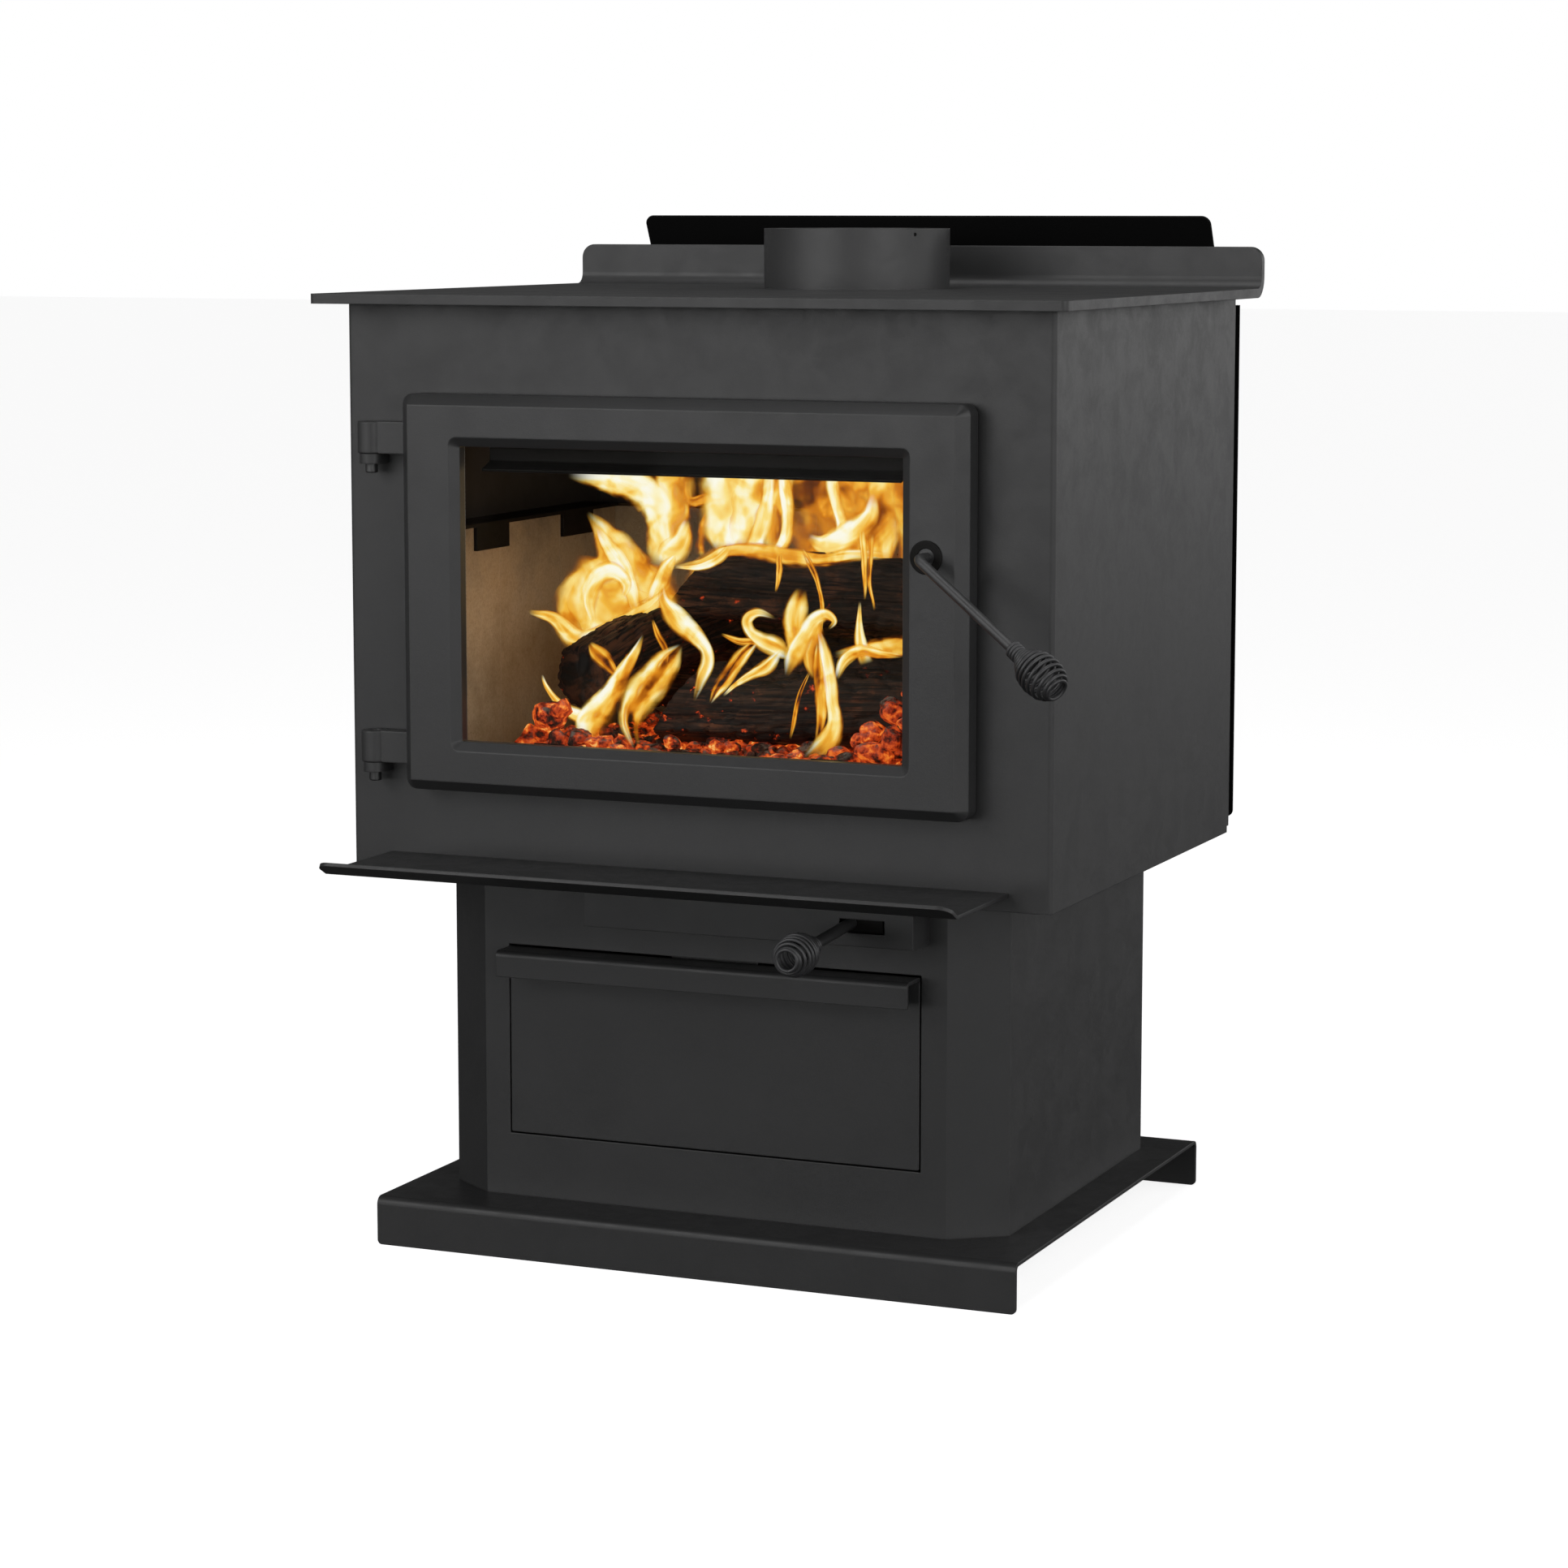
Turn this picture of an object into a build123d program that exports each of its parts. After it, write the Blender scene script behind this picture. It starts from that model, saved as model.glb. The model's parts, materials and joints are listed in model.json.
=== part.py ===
"""Freestanding wood burning stove on a pedestal, built as separate pieces. Units are millimetres.

Frame: +Z is up, the door faces -Y, and +X is to the right of someone facing the door.
The origin is on the floor, midway along the bottom edge of the base's front flange.
"""
from build123d import *
import math
import os

os.makedirs("parts", exist_ok=True)

# ---------------------------------------------------------------- driving dimensions
SHEET = 3.0             # base, pedestal and shelf sheet
THIN = 2.0              # shield, tray and duct sheet
WALL = 5.0              # firebox wall plate
FLOOR_T = 8.0           # firebox floor plate
TOP_T = 8.0             # top plate
GAP = 0.3               # assembly gap between neighbouring pieces

BASE_W = 560.0          # base tray across X
BASE_REAR = 461.4       # middle of the rear flange; the front one is at y = 0
BASE_Z = 40.2           # top of the base tray
SHEET_BEND = 5.0        # centreline radius of the sheet bends

FRONT = 9.3             # face of the firebox front panel
BODY_W = 605.5
BODY_BOTTOM = 313.5
BODY_TOP = 773.5
BODY_REAR = 465.7       # rear ends of the side plates
INNER = BODY_W / 2 - WALL

PED_FRONT = 48.55
PED_CHAMFER_Y = 78.8
PED_REAR = 411.0
PED_W = 491.1
PED_FLAT_W = 406.6      # flat part of the pedestal front, between the chamfers

TOP_W = 643.1
TOP_OVERHANG = 29.5
UPSTAND_REAR = 491.2
UPSTAND_TOP = 816.6
COLLAR_Y = 357.4
COLLAR_R = 79.4         # 6 1/4 in outside
COLLAR_BORE_R = 76.2    # 6 in flue pipe
COLLAR_TOP = 832.3

DOOR_W = 484.4
DOOR_LOW, DOOR_HIGH = 384.1, 702.9
DOOR_FACE = FRONT - 29.7
DOOR_BACK = FRONT - 4.0
DOOR_Z = (DOOR_LOW + DOOR_HIGH) / 2
WINDOW_W, WINDOW_H = 378.8, 236.3
WINDOW_Z = 543.55
BEVEL_W, BEVEL_D = 7.6, 5.3
REBATE_FLOOR = FRONT - 15.5
GLASS_W, GLASS_H, GLASS_T = 394.0, 251.0, 5.0
GASKET_T = 1.5
OPENING_W, OPENING_H, OPENING_Z = 438.0, 265.0, 543.5
ROPE_W, ROPE_OFFSET = 14.0, 8.0   # gasket rope, and its middle outside the opening's edge

HINGE_X, HINGE_Y = -275.0, FRONT - 13.0
HINGE_ZS = (403.8, 654.0)         # undersides of the two knuckles
KNUCKLE_R, KNUCKLE_H = 11.0, 25.6
PIN_R, RUNNING = 5.0, 0.05

HANDLE_X, HANDLE_Z = 210.5, 587.0
HANDLE_ROD_R = 4.0
HUB_R = 6.95
HANDLE_BEND = (HANDLE_X, -38.7, HANDLE_Z)
HANDLE_END = (345.0, -100.7, 499.8)
GRIP_LENGTH = 56.0

SHELF_W = 535.0
SHELF_TOP = 328.3
SHELF_BEND_Y, SHELF_TIP_Y, SHELF_TIP_Z = -100.0, -117.6, 337.4

BOX_LEFT, BOX_RIGHT, BOX_FRONT, BOX_BOTTOM = -96.0, 188.0, 13.3, 277.0
SLOT_LEFT, SLOT_RIGHT, SLOT_LOW, SLOT_HIGH = 126.0, 164.0, 287.5, 298.5
LEVER_R = 4.7
LEVER_DROP = 3.5                  # degrees below level
LEVER_X, LEVER_Z = 131.5, 292.7   # centre of the lever where it leaves the slot
LEVER_REACH = 120.0               # slot to the tip of the grip

DRAWER_W = 360.0
DRAWER_LOW, DRAWER_HIGH = 93.9, 249.4
DRAWER_GAP = 1.5
LIP_FRONT, LIP_DROP = 21.6, 21.4
TRAY_W, TRAY_H, TRAY_LENGTH = 344.0, 78.0, 326.0
TRAY_FLOOR = DRAWER_LOW + 0.4

BRICK_L, BRICK_W, BRICK_T = 228.6, 114.3, 31.75   # 9 x 4 1/2 x 1 1/4 in firebrick
FLOOR_TOP = BODY_BOTTOM + FLOOR_T
HEARTH = FLOOR_TOP + GAP + BRICK_T                # top of the floor bricks
LINING = INNER - GAP - BRICK_T                    # inner face of the side bricks
LINING_REAR = BODY_REAR - GAP - BRICK_T           # front face of the rear bricks
LINING_TOP = HEARTH + GAP + BRICK_L
DUCT = 30.0                                       # air duct section, across the flats

PLUG_W, PLUG_FRONT, PLUG_REAR = 80.0, 54.0, 112.0

SHIELD_FRONT = 518.3
SHIELD_W, SHIELD_NECK_W = 583.0, 536.4
SHIELD_LOW, SHIELD_SHOULDER = 319.2, 766.2
SHIELD_BEND_Z, SHIELD_TOP, SHIELD_LEAN = 812.0, 842.3, 15.0


# ---------------------------------------------------------------- shared helpers
def facing(y):
    """Plane that faces the front (-Y) at depth y, with X to the right and Z up."""
    return Plane.XZ.offset(-y)


def save(piece, node):
    """Label a finished piece and write its STEP."""
    piece.part.label = node
    export_step(piece.part, f"parts/{node}.step")


def toward(start, end):
    """Plane at start whose normal points to end."""
    return Plane(origin=start, z_dir=Vector(*end) - Vector(*start))


def grip_profile():
    """Half section of a wound-wire grip: tight neck, swelling belly, open end. Drawn from the tip, r in X."""
    rod_hole = HANDLE_ROD_R + 0.8
    inside = [(5.0, 0), (13.2, -22), (12.0, -30), (rod_hole, -43), (rod_hole, -GRIP_LENGTH)]
    outside = [(8.0, -GRIP_LENGTH), (8.0, -43), (15.6, -30), (17.0, -20), (15.0, -8), (9.8, 0)]
    return inside + outside


def row(length, unit, joint):
    """Spans of the bricks laid along a length: whole ones, then one cut to fit."""
    spans, start = [], 0.0
    while length - start > unit / 5:
        end = min(start + unit, length)
        spans.append((start, end))
        start = end + joint
    return spans


# ---------------------------------------------------------------- base and pedestal
with BuildPart() as base_tray:
    with BuildSketch(Plane.YZ):
        with BuildLine():
            level = BASE_Z - SHEET / 2
            FilletPolyline((0, 0), (0, level), (BASE_REAR, level), (BASE_REAR, 0), radius=SHEET_BEND)
        trace(line_width=SHEET)
    extrude(amount=BASE_W / 2, both=True)
    fillet(base_tray.edges().filter_by(Axis.Y).group_by(Axis.Z)[0], radius=4)
save(base_tray, "base_tray")

with BuildPart() as pedestal_shell:
    with BuildSketch(Plane.XY.offset(BASE_Z)):
        with BuildLine():
            side, flat = PED_W / 2, PED_FLAT_W / 2
            Polyline((-side, PED_REAR), (-side, PED_CHAMFER_Y), (-flat, PED_FRONT), (flat, PED_FRONT),
                     (side, PED_CHAMFER_Y), (side, PED_REAR), close=True)
        make_face()
        offset(amount=-SHEET, mode=Mode.SUBTRACT)
        with Locations((0, PED_REAR)):
            Rectangle(PED_W - 2 * SHEET, 2 * SHEET, mode=Mode.SUBTRACT)
    extrude(amount=BODY_BOTTOM - BASE_Z)
    with BuildSketch(facing(PED_FRONT)):
        with Locations((0, (DRAWER_LOW + DRAWER_HIGH) / 2)):
            Rectangle(DRAWER_W + 2 * DRAWER_GAP, DRAWER_HIGH - DRAWER_LOW + 2 * DRAWER_GAP)
    extrude(amount=-SHEET, mode=Mode.SUBTRACT)
save(pedestal_shell, "pedestal_shell")

INLET_Z = 235.0
INLET_R = 38.1          # 3 in outside-air duct
INLET_FLANGE_R = 50.0
INLET_REACH = 28.0
with BuildPart() as pedestal_back:
    with BuildSketch(facing(PED_REAR)):
        with Locations((0, (BASE_Z + BODY_BOTTOM) / 2)):
            Rectangle(PED_W - 2 * SHEET - 2 * GAP, BODY_BOTTOM - BASE_Z)
        with Locations((0, INLET_Z)):
            Circle(INLET_R - THIN, mode=Mode.SUBTRACT)
    extrude(amount=SHEET)
save(pedestal_back, "pedestal_back")

# Flanged spigot on the outer face of the pedestal's back
with BuildPart() as air_inlet_collar:
    for face_y, rim, reach in ((PED_REAR, INLET_FLANGE_R, THIN), (PED_REAR + THIN, INLET_R, INLET_REACH)):
        with BuildSketch(facing(face_y)):
            with Locations((0, INLET_Z)):
                Circle(rim)
                Circle(INLET_R - THIN, mode=Mode.SUBTRACT)
        extrude(amount=-reach)
save(air_inlet_collar, "air_inlet_collar")

CLEAT = 25.0
CLEAT_YS = (130.0, 370.0)
CLEAT_BOLT_R = 4.0
with BuildPart() as pedestal_cleats:
    for sign in (-1, 1):
        with BuildSketch(Plane.XZ.offset(-90)):
            outer = sign * (PED_W / 2 - SHEET - GAP)
            with BuildLine():
                Polyline((outer, BASE_Z), (outer, BASE_Z + CLEAT), (outer - sign * SHEET, BASE_Z + CLEAT),
                         (outer - sign * SHEET, BASE_Z + SHEET), (outer - sign * CLEAT, BASE_Z + SHEET),
                         (outer - sign * CLEAT, BASE_Z), close=True)
            make_face()
    extrude(amount=-300)
    with BuildSketch(Plane.XY.offset(BASE_Z)):
        for sign in (-1, 1):
            with Locations(*[(sign * (PED_W / 2 - SHEET - CLEAT / 2 - 2), y) for y in CLEAT_YS]):
                Circle(CLEAT_BOLT_R + GAP)
    extrude(amount=SHEET, mode=Mode.SUBTRACT)
save(pedestal_cleats, "pedestal_cleats")

with BuildPart() as cleat_bolts:
    for sign in (-1, 1):
        with Locations(*[(sign * (PED_W / 2 - SHEET - CLEAT / 2 - 2), y, BASE_Z) for y in CLEAT_YS]):
            Cylinder(CLEAT_BOLT_R, SHEET, align=(Align.CENTER, Align.CENTER, Align.MIN))
    with BuildSketch(Plane.XY.offset(BASE_Z + SHEET)):
        for sign in (-1, 1):
            with Locations(*[(sign * (PED_W / 2 - SHEET - CLEAT / 2 - 2), y) for y in CLEAT_YS]):
                RegularPolygon(radius=7, side_count=6)
    extrude(amount=5.3)
save(cleat_bolts, "cleat_bolts")

DECK_FRONT = 90.0
with BuildPart() as drawer_deck:
    with BuildSketch(Plane.XZ.offset(-DECK_FRONT)):
        with BuildLine():
            edge = PED_W / 2 - SHEET - GAP - THIN / 2
            height = TRAY_FLOOR - GAP - THIN / 2
            FilletPolyline((-edge, height - 22), (-edge, height), (edge, height), (edge, height - 22),
                           radius=4)
        trace(line_width=THIN)
    extrude(amount=-(PED_REAR - SHEET - GAP - DECK_FRONT))
save(drawer_deck, "drawer_deck")

GUIDE_H = 24.0
with BuildPart() as drawer_guides:
    for sign in (-1, 1):
        with BuildSketch(Plane.XZ.offset(-DECK_FRONT)):
            inner, low = sign * (TRAY_W / 2 + 1), TRAY_FLOOR - GAP
            with BuildLine():
                Polyline((inner, low), (inner, low + GUIDE_H), (inner + sign * SHEET, low + GUIDE_H),
                         (inner + sign * SHEET, low + SHEET), (inner + sign * GUIDE_H, low + SHEET),
                         (inner + sign * GUIDE_H, low), close=True)
            make_face()
    extrude(amount=-300)
save(drawer_guides, "drawer_guides")

# ---------------------------------------------------------------- ash drawer
with BuildPart() as drawer_front:
    with BuildSketch(Plane.YZ):
        with BuildLine():
            face, top = PED_FRONT + SHEET / 2, DRAWER_HIGH - SHEET / 2
            FilletPolyline((face, DRAWER_LOW), (face, top), (LIP_FRONT + SHEET / 2, top),
                           (LIP_FRONT + SHEET / 2, DRAWER_HIGH - LIP_DROP), radius=3)
        trace(line_width=SHEET)
    extrude(amount=DRAWER_W / 2, both=True)
    fillet(drawer_front.edges().filter_by(Axis.Y).group_by(Axis.Z)[0], radius=1.5)
    fillet(drawer_front.edges().filter_by(Axis.Y).group_by(Axis.Y)[0], radius=1.5)
save(drawer_front, "drawer_front")

TRAY_FRONT = PED_FRONT + SHEET
with BuildPart() as drawer_tray:
    with BuildSketch(Plane.XY.offset(TRAY_FLOOR)):
        with Locations((0, TRAY_FRONT + TRAY_LENGTH / 2)):
            RectangleRounded(TRAY_W, TRAY_LENGTH, radius=6)
    extrude(amount=TRAY_H)
    offset(amount=-THIN, openings=drawer_tray.faces().sort_by(Axis.Z)[-1])
save(drawer_tray, "drawer_tray")

# ---------------------------------------------------------------- firebox shell
with BuildPart() as firebox_front:
    with BuildSketch(facing(FRONT)):
        with Locations((0, (BODY_BOTTOM + BODY_TOP) / 2)):
            Rectangle(BODY_W, BODY_TOP - BODY_BOTTOM)
        with Locations((0, OPENING_Z)):
            RectangleRounded(OPENING_W, OPENING_H, radius=12, mode=Mode.SUBTRACT)
    extrude(amount=-WALL)
    for end in (0, -1):
        upright_edges = firebox_front.edges().filter_by(Axis.Z).group_by(Axis.Y)[0]
        fillet(upright_edges.sort_by(Axis.X)[end], radius=4)
save(firebox_front, "firebox_front")

for side_name, sign in (("left", -1), ("right", 1)):
    with BuildPart() as firebox_side:
        with BuildSketch(Plane.XY.offset(BODY_BOTTOM)):
            with Locations((sign * (INNER + WALL / 2), (FRONT + WALL + BODY_REAR) / 2)):
                Rectangle(WALL, BODY_REAR - FRONT - WALL)
        extrude(amount=BODY_TOP - BODY_BOTTOM)
    save(firebox_side, f"firebox_{side_name}")

BACK_T = 4.3
with BuildPart() as firebox_back:
    with BuildSketch(facing(BODY_REAR)):
        with Locations((0, (BODY_BOTTOM + 5.5 + BODY_TOP) / 2)):
            Rectangle(BODY_W, BODY_TOP - BODY_BOTTOM - 5.5)
    extrude(amount=-BACK_T)
save(firebox_back, "firebox_back")

AIR_HOLE_R = 10.0
AIR_HOLE_XS = (20.0, 60.0, 100.0)
AIR_HOLE_Y = 30.0
THROAT_INSET = 8.0      # ledge that carries the ash plug, all round
with BuildPart() as firebox_floor:
    with BuildSketch(Plane.XY.offset(BODY_BOTTOM)):
        with Locations((0, (FRONT + WALL + BODY_REAR) / 2)):
            Rectangle(2 * INNER, BODY_REAR - FRONT - WALL)
        with Locations((0, (PLUG_FRONT + PLUG_REAR) / 2)):
            Rectangle(PLUG_W - 2 * THROAT_INSET, PLUG_REAR - PLUG_FRONT - 2 * THROAT_INSET,
                      mode=Mode.SUBTRACT)
        with Locations(*[(x, AIR_HOLE_Y) for x in AIR_HOLE_XS]):
            Circle(AIR_HOLE_R, mode=Mode.SUBTRACT)
    extrude(amount=FLOOR_T)
save(firebox_floor, "firebox_floor")

with BuildPart() as ash_chute:
    with BuildSketch(Plane.XY.offset(BODY_BOTTOM)):
        with Locations((0, (PLUG_FRONT + PLUG_REAR) / 2)):
            Rectangle(PLUG_W - 4, PLUG_REAR - PLUG_FRONT - 4)
            Rectangle(PLUG_W - 4 - 2 * THIN, PLUG_REAR - PLUG_FRONT - 4 - 2 * THIN, mode=Mode.SUBTRACT)
    extrude(amount=-(BODY_BOTTOM - TRAY_FLOOR - TRAY_H - 12))
save(ash_chute, "ash_chute")

# ---------------------------------------------------------------- top plate, collar and rear shield
with BuildPart() as top_plate:
    with BuildSketch(Plane.YZ):
        with BuildLine():
            mid_z, mid_y = BODY_TOP + TOP_T / 2, UPSTAND_REAR - TOP_T / 2
            FilletPolyline((FRONT - TOP_OVERHANG, mid_z), (mid_y, mid_z), (mid_y, UPSTAND_TOP), radius=14)
        trace(line_width=TOP_T)
    extrude(amount=TOP_W / 2, both=True)
    fillet(top_plate.edges().filter_by(Axis.Z).group_by(Axis.Y)[0], radius=5)
    fillet(top_plate.edges().filter_by(Axis.Y).group_by(Axis.Z)[-1], radius=12)
    with BuildSketch(Plane.XY.offset(BODY_TOP)):
        with Locations((0, COLLAR_Y)):
            Circle(COLLAR_R + GAP / 2)
    extrude(amount=TOP_T, mode=Mode.SUBTRACT)
save(top_plate, "top_plate")

SCREW_HOLE_R = 1.6
with BuildPart() as flue_collar:
    with BuildSketch(Plane.XY.offset(BODY_TOP)):
        with Locations((0, COLLAR_Y)):
            Circle(COLLAR_R)
            Circle(COLLAR_BORE_R, mode=Mode.SUBTRACT)
    extrude(amount=COLLAR_TOP - BODY_TOP)
    for turn in (-30, 210, 90):
        direction = Vector(1, 0, 0).rotate(Axis.Z, turn)
        hole_start = Vector(0, COLLAR_Y, COLLAR_TOP - 5) + direction * (COLLAR_BORE_R - 4)
        with BuildSketch(Plane(origin=hole_start, z_dir=direction)):
            Circle(SCREW_HOLE_R)
        extrude(amount=12, mode=Mode.SUBTRACT)
save(flue_collar, "flue_collar")

with BuildPart() as rear_shield:
    with BuildSketch(Plane.YZ):
        with BuildLine():
            plane_y = SHIELD_FRONT + THIN / 2
            FilletPolyline((plane_y, SHIELD_LOW), (plane_y, SHIELD_BEND_Z),
                           (plane_y - SHIELD_LEAN, SHIELD_TOP), radius=8)
        trace(line_width=THIN)
    extrude(amount=SHIELD_W / 2, both=True)
    for sign in (-1, 1):
        with BuildSketch(facing(SHIELD_FRONT - 30)):
            with Locations((sign * (SHIELD_W + SHIELD_NECK_W) / 4, (SHIELD_TOP + SHIELD_SHOULDER) / 2 + 5)):
                Rectangle((SHIELD_W - SHIELD_NECK_W) / 2, SHIELD_TOP - SHIELD_SHOULDER + 10)
        extrude(amount=-60, mode=Mode.SUBTRACT)
    corners = rear_shield.edges().filter_by(lambda e: e.length < THIN * 1.6)
    fillet(corners.group_by(Axis.Z)[0], radius=6)
    corners = rear_shield.edges().filter_by(lambda e: e.length < THIN * 1.6)
    fillet(corners.group_by(Axis.Z)[-1], radius=8)
save(rear_shield, "rear_shield")

SPACER_XS, SPACER_ZS = (-240.0, 240.0), (375.0, 725.0)
SPACER_R = 9.0
spacer_spots = [(x, z) for x in SPACER_XS for z in SPACER_ZS]
with BuildPart() as shield_spacers:
    with BuildSketch(facing(BODY_REAR + BACK_T)):
        with Locations(*spacer_spots):
            Circle(SPACER_R)
    extrude(amount=-(SHIELD_FRONT - BODY_REAR - BACK_T))
save(shield_spacers, "shield_spacers")

with BuildPart() as shield_screws:
    with BuildSketch(facing(SHIELD_FRONT + THIN)):
        with Locations(*spacer_spots):
            RegularPolygon(radius=7.5, side_count=6)
    extrude(amount=-4)
    chamfer(shield_screws.edges().group_by(Axis.Y)[-1], length=0.8)
save(shield_screws, "shield_screws")

# ---------------------------------------------------------------- ash shelf
with BuildPart() as ash_shelf:
    with BuildSketch(Plane.YZ):
        with BuildLine():
            mid = SHELF_TOP - SHEET / 2
            FilletPolyline((FRONT, mid), (SHELF_BEND_Y, mid), (SHELF_TIP_Y, SHELF_TIP_Z - 1), radius=6)
        trace(line_width=SHEET)
    extrude(amount=SHELF_W / 2, both=True)
    tips = ash_shelf.edges().filter_by(lambda e: e.length < SHEET * 1.2).group_by(Axis.Y)[0]
    fillet(tips, radius=10)
save(ash_shelf, "ash_shelf")

BRACKET_XS = (-110.0, 15.0, 118.0)
BRACKET_REACH = 38.0
with BuildPart() as shelf_brackets:
    for x in BRACKET_XS:
        with BuildSketch(Plane.YZ.offset(x)):
            low, high = BODY_BOTTOM, SHELF_TOP - SHEET
            with BuildLine():
                Polyline((FRONT, low), (FRONT, high), (FRONT - BRACKET_REACH, high),
                         (FRONT - BRACKET_REACH, high - SHEET), (FRONT - SHEET, high - SHEET),
                         (FRONT - SHEET, low), close=True)
            make_face()
    extrude(amount=15, both=True)
save(shelf_brackets, "shelf_brackets")

with BuildPart() as shelf_bolts:
    with BuildSketch(Plane.XY.offset(SHELF_TOP - 2 * SHEET)):
        with Locations(*[(x, FRONT - BRACKET_REACH + 12) for x in BRACKET_XS]):
            RegularPolygon(radius=6.5, side_count=6)
    extrude(amount=-5)
save(shelf_bolts, "shelf_bolts")

# ---------------------------------------------------------------- air control
with BuildPart() as air_box:
    with BuildSketch(Plane.XY.offset(BOX_BOTTOM)):
        with Locations(((BOX_LEFT + BOX_RIGHT) / 2, (BOX_FRONT + PED_FRONT) / 2)):
            Rectangle(BOX_RIGHT - BOX_LEFT, PED_FRONT - BOX_FRONT)
    extrude(amount=BODY_BOTTOM - BOX_BOTTOM)
    open_faces = [air_box.faces().sort_by(Axis.Z)[-1], air_box.faces().sort_by(Axis.Y)[-1]]
    offset(amount=-THIN, openings=open_faces)
    with BuildSketch(facing(BOX_FRONT)):
        with Locations(((SLOT_LEFT + SLOT_RIGHT) / 2, (SLOT_LOW + SLOT_HIGH) / 2)):
            Rectangle(SLOT_RIGHT - SLOT_LEFT, SLOT_HIGH - SLOT_LOW)
    extrude(amount=-THIN, mode=Mode.SUBTRACT)
save(air_box, "air_box")

ORIFICE_Z = 306.0
DAMPER_FRONT, DAMPER_REAR = 22.0, 44.0
with BuildPart() as air_orifice_plate:
    with BuildSketch(Plane.XY.offset(ORIFICE_Z)):
        with Locations(((BOX_LEFT + BOX_RIGHT) / 2, (BOX_FRONT + THIN + PED_FRONT) / 2)):
            Rectangle(BOX_RIGHT - BOX_LEFT - 2 * THIN, PED_FRONT - BOX_FRONT - THIN)
        with Locations(*[(x, AIR_HOLE_Y + 3) for x in AIR_HOLE_XS]):
            SlotOverall(24, 12, mode=Mode.SUBTRACT)
    extrude(amount=THIN)
save(air_orifice_plate, "air_orifice_plate")

lever_tip = Vector(LEVER_X, BOX_FRONT - LEVER_REACH * math.cos(math.radians(LEVER_DROP)),
                   LEVER_Z - LEVER_REACH * math.sin(math.radians(LEVER_DROP)))
lever_root = Vector(LEVER_X, BOX_FRONT, LEVER_Z) * 1.15 - lever_tip * 0.15
lever_plane = toward(lever_root, lever_tip)
lever_length = (lever_tip - lever_root).length
TAB_Y, TAB_RIGHT = 25.0, 158.0
with BuildPart() as damper_plate:
    with BuildSketch(Plane.XY.offset(ORIFICE_Z - GAP - THIN)):
        with Locations((75, (DAMPER_FRONT + DAMPER_REAR) / 2)):
            Rectangle(166, DAMPER_REAR - DAMPER_FRONT)
        with Locations(*[(x - 27, AIR_HOLE_Y + 3) for x in AIR_HOLE_XS]):
            SlotOverall(24, 12, mode=Mode.SUBTRACT)
    extrude(amount=THIN)
    with BuildSketch(facing(TAB_Y)):
        with Locations((LEVER_X - 5.5, BOX_BOTTOM + 7)):
            Rectangle(TAB_RIGHT - LEVER_X + 5.5, ORIFICE_Z - GAP - THIN - BOX_BOTTOM - 7,
                      align=(Align.MIN, Align.MIN))
    extrude(amount=-THIN)
    with BuildSketch(lever_plane):
        Circle(LEVER_R)
    extrude(amount=lever_length, mode=Mode.SUBTRACT)
save(damper_plate, "damper_plate")

GRIP_HOLD = 26.0        # how far a rod reaches into its wound grip
with BuildPart() as air_lever_rod:
    with BuildSketch(lever_plane):
        Circle(LEVER_R)
    extrude(amount=lever_length - GRIP_LENGTH + GRIP_HOLD)
    chamfer(air_lever_rod.edges().filter_by(GeomType.CIRCLE), length=0.6)
save(air_lever_rod, "air_lever_rod")


def grip_plane(root, tip):
    """Plane for a grip's half section: origin at the tip, local Y running from the root to the tip."""
    along = (tip - root).normalized()
    across = Vector(1, 0, 0) if abs(along.X) < 0.5 else Vector(0, 0, 1)
    return Plane(origin=tip, x_dir=across.cross(along), z_dir=across.cross(along).cross(along))


lever_grip_plane = grip_plane(lever_root, lever_tip)
with BuildPart() as air_lever_grip:
    with BuildSketch(lever_grip_plane):
        with BuildLine():
            wider = LEVER_R - HANDLE_ROD_R
            section = [(r + wider if y < -40 and r < 8 else r, y) for r, y in grip_profile()]
            Polyline(*section, close=True)
        make_face()
    revolve(axis=Axis(lever_tip, lever_tip - lever_root))
save(air_lever_grip, "air_lever_grip")

# ---------------------------------------------------------------- firebox air ducts
def sheet_angle(name, corner, legs, x_from, x_to):
    """Square-cornered sheet angle along X: corner (y, z), leg lengths along +-Y and +-Z."""
    y, z = corner
    leg_y, leg_z = legs
    t_y, t_z = math.copysign(THIN, leg_y), math.copysign(THIN, leg_z)
    with BuildPart() as angle:
        with BuildSketch(Plane.YZ.offset(x_from)):
            with BuildLine():
                Polyline((y, z), (y + leg_y, z), (y + leg_y, z + t_z), (y + t_y, z + t_z),
                         (y + t_y, z + leg_z), (y, z + leg_z), close=True)
            make_face()
        extrude(amount=x_to - x_from)
    save(angle, name)


DUCT_FRONT = FRONT + WALL
DUCT_RIGHT = LINING - 2
sheet_angle("sill_duct", (DUCT_FRONT + DUCT, FLOOR_TOP + DUCT), (-DUCT, -DUCT), -DUCT_RIGHT, DUCT_RIGHT)

WASH_LOW, WASH_HIGH = 682.0, 712.0
WASH_SLOT, LIP_W = 2.5, 360.0
with BuildPart() as air_risers:
    for sign in (-1, 1):
        with BuildSketch(Plane.XY.offset(FLOOR_TOP + DUCT)):
            with Locations((sign * (DUCT_RIGHT - DUCT / 2), DUCT_FRONT + DUCT / 2)):
                Rectangle(DUCT, DUCT)
                Rectangle(DUCT - 2 * THIN, DUCT - 2 * THIN, mode=Mode.SUBTRACT)
    extrude(amount=WASH_LOW - FLOOR_TOP - DUCT)
save(air_risers, "air_risers")

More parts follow.
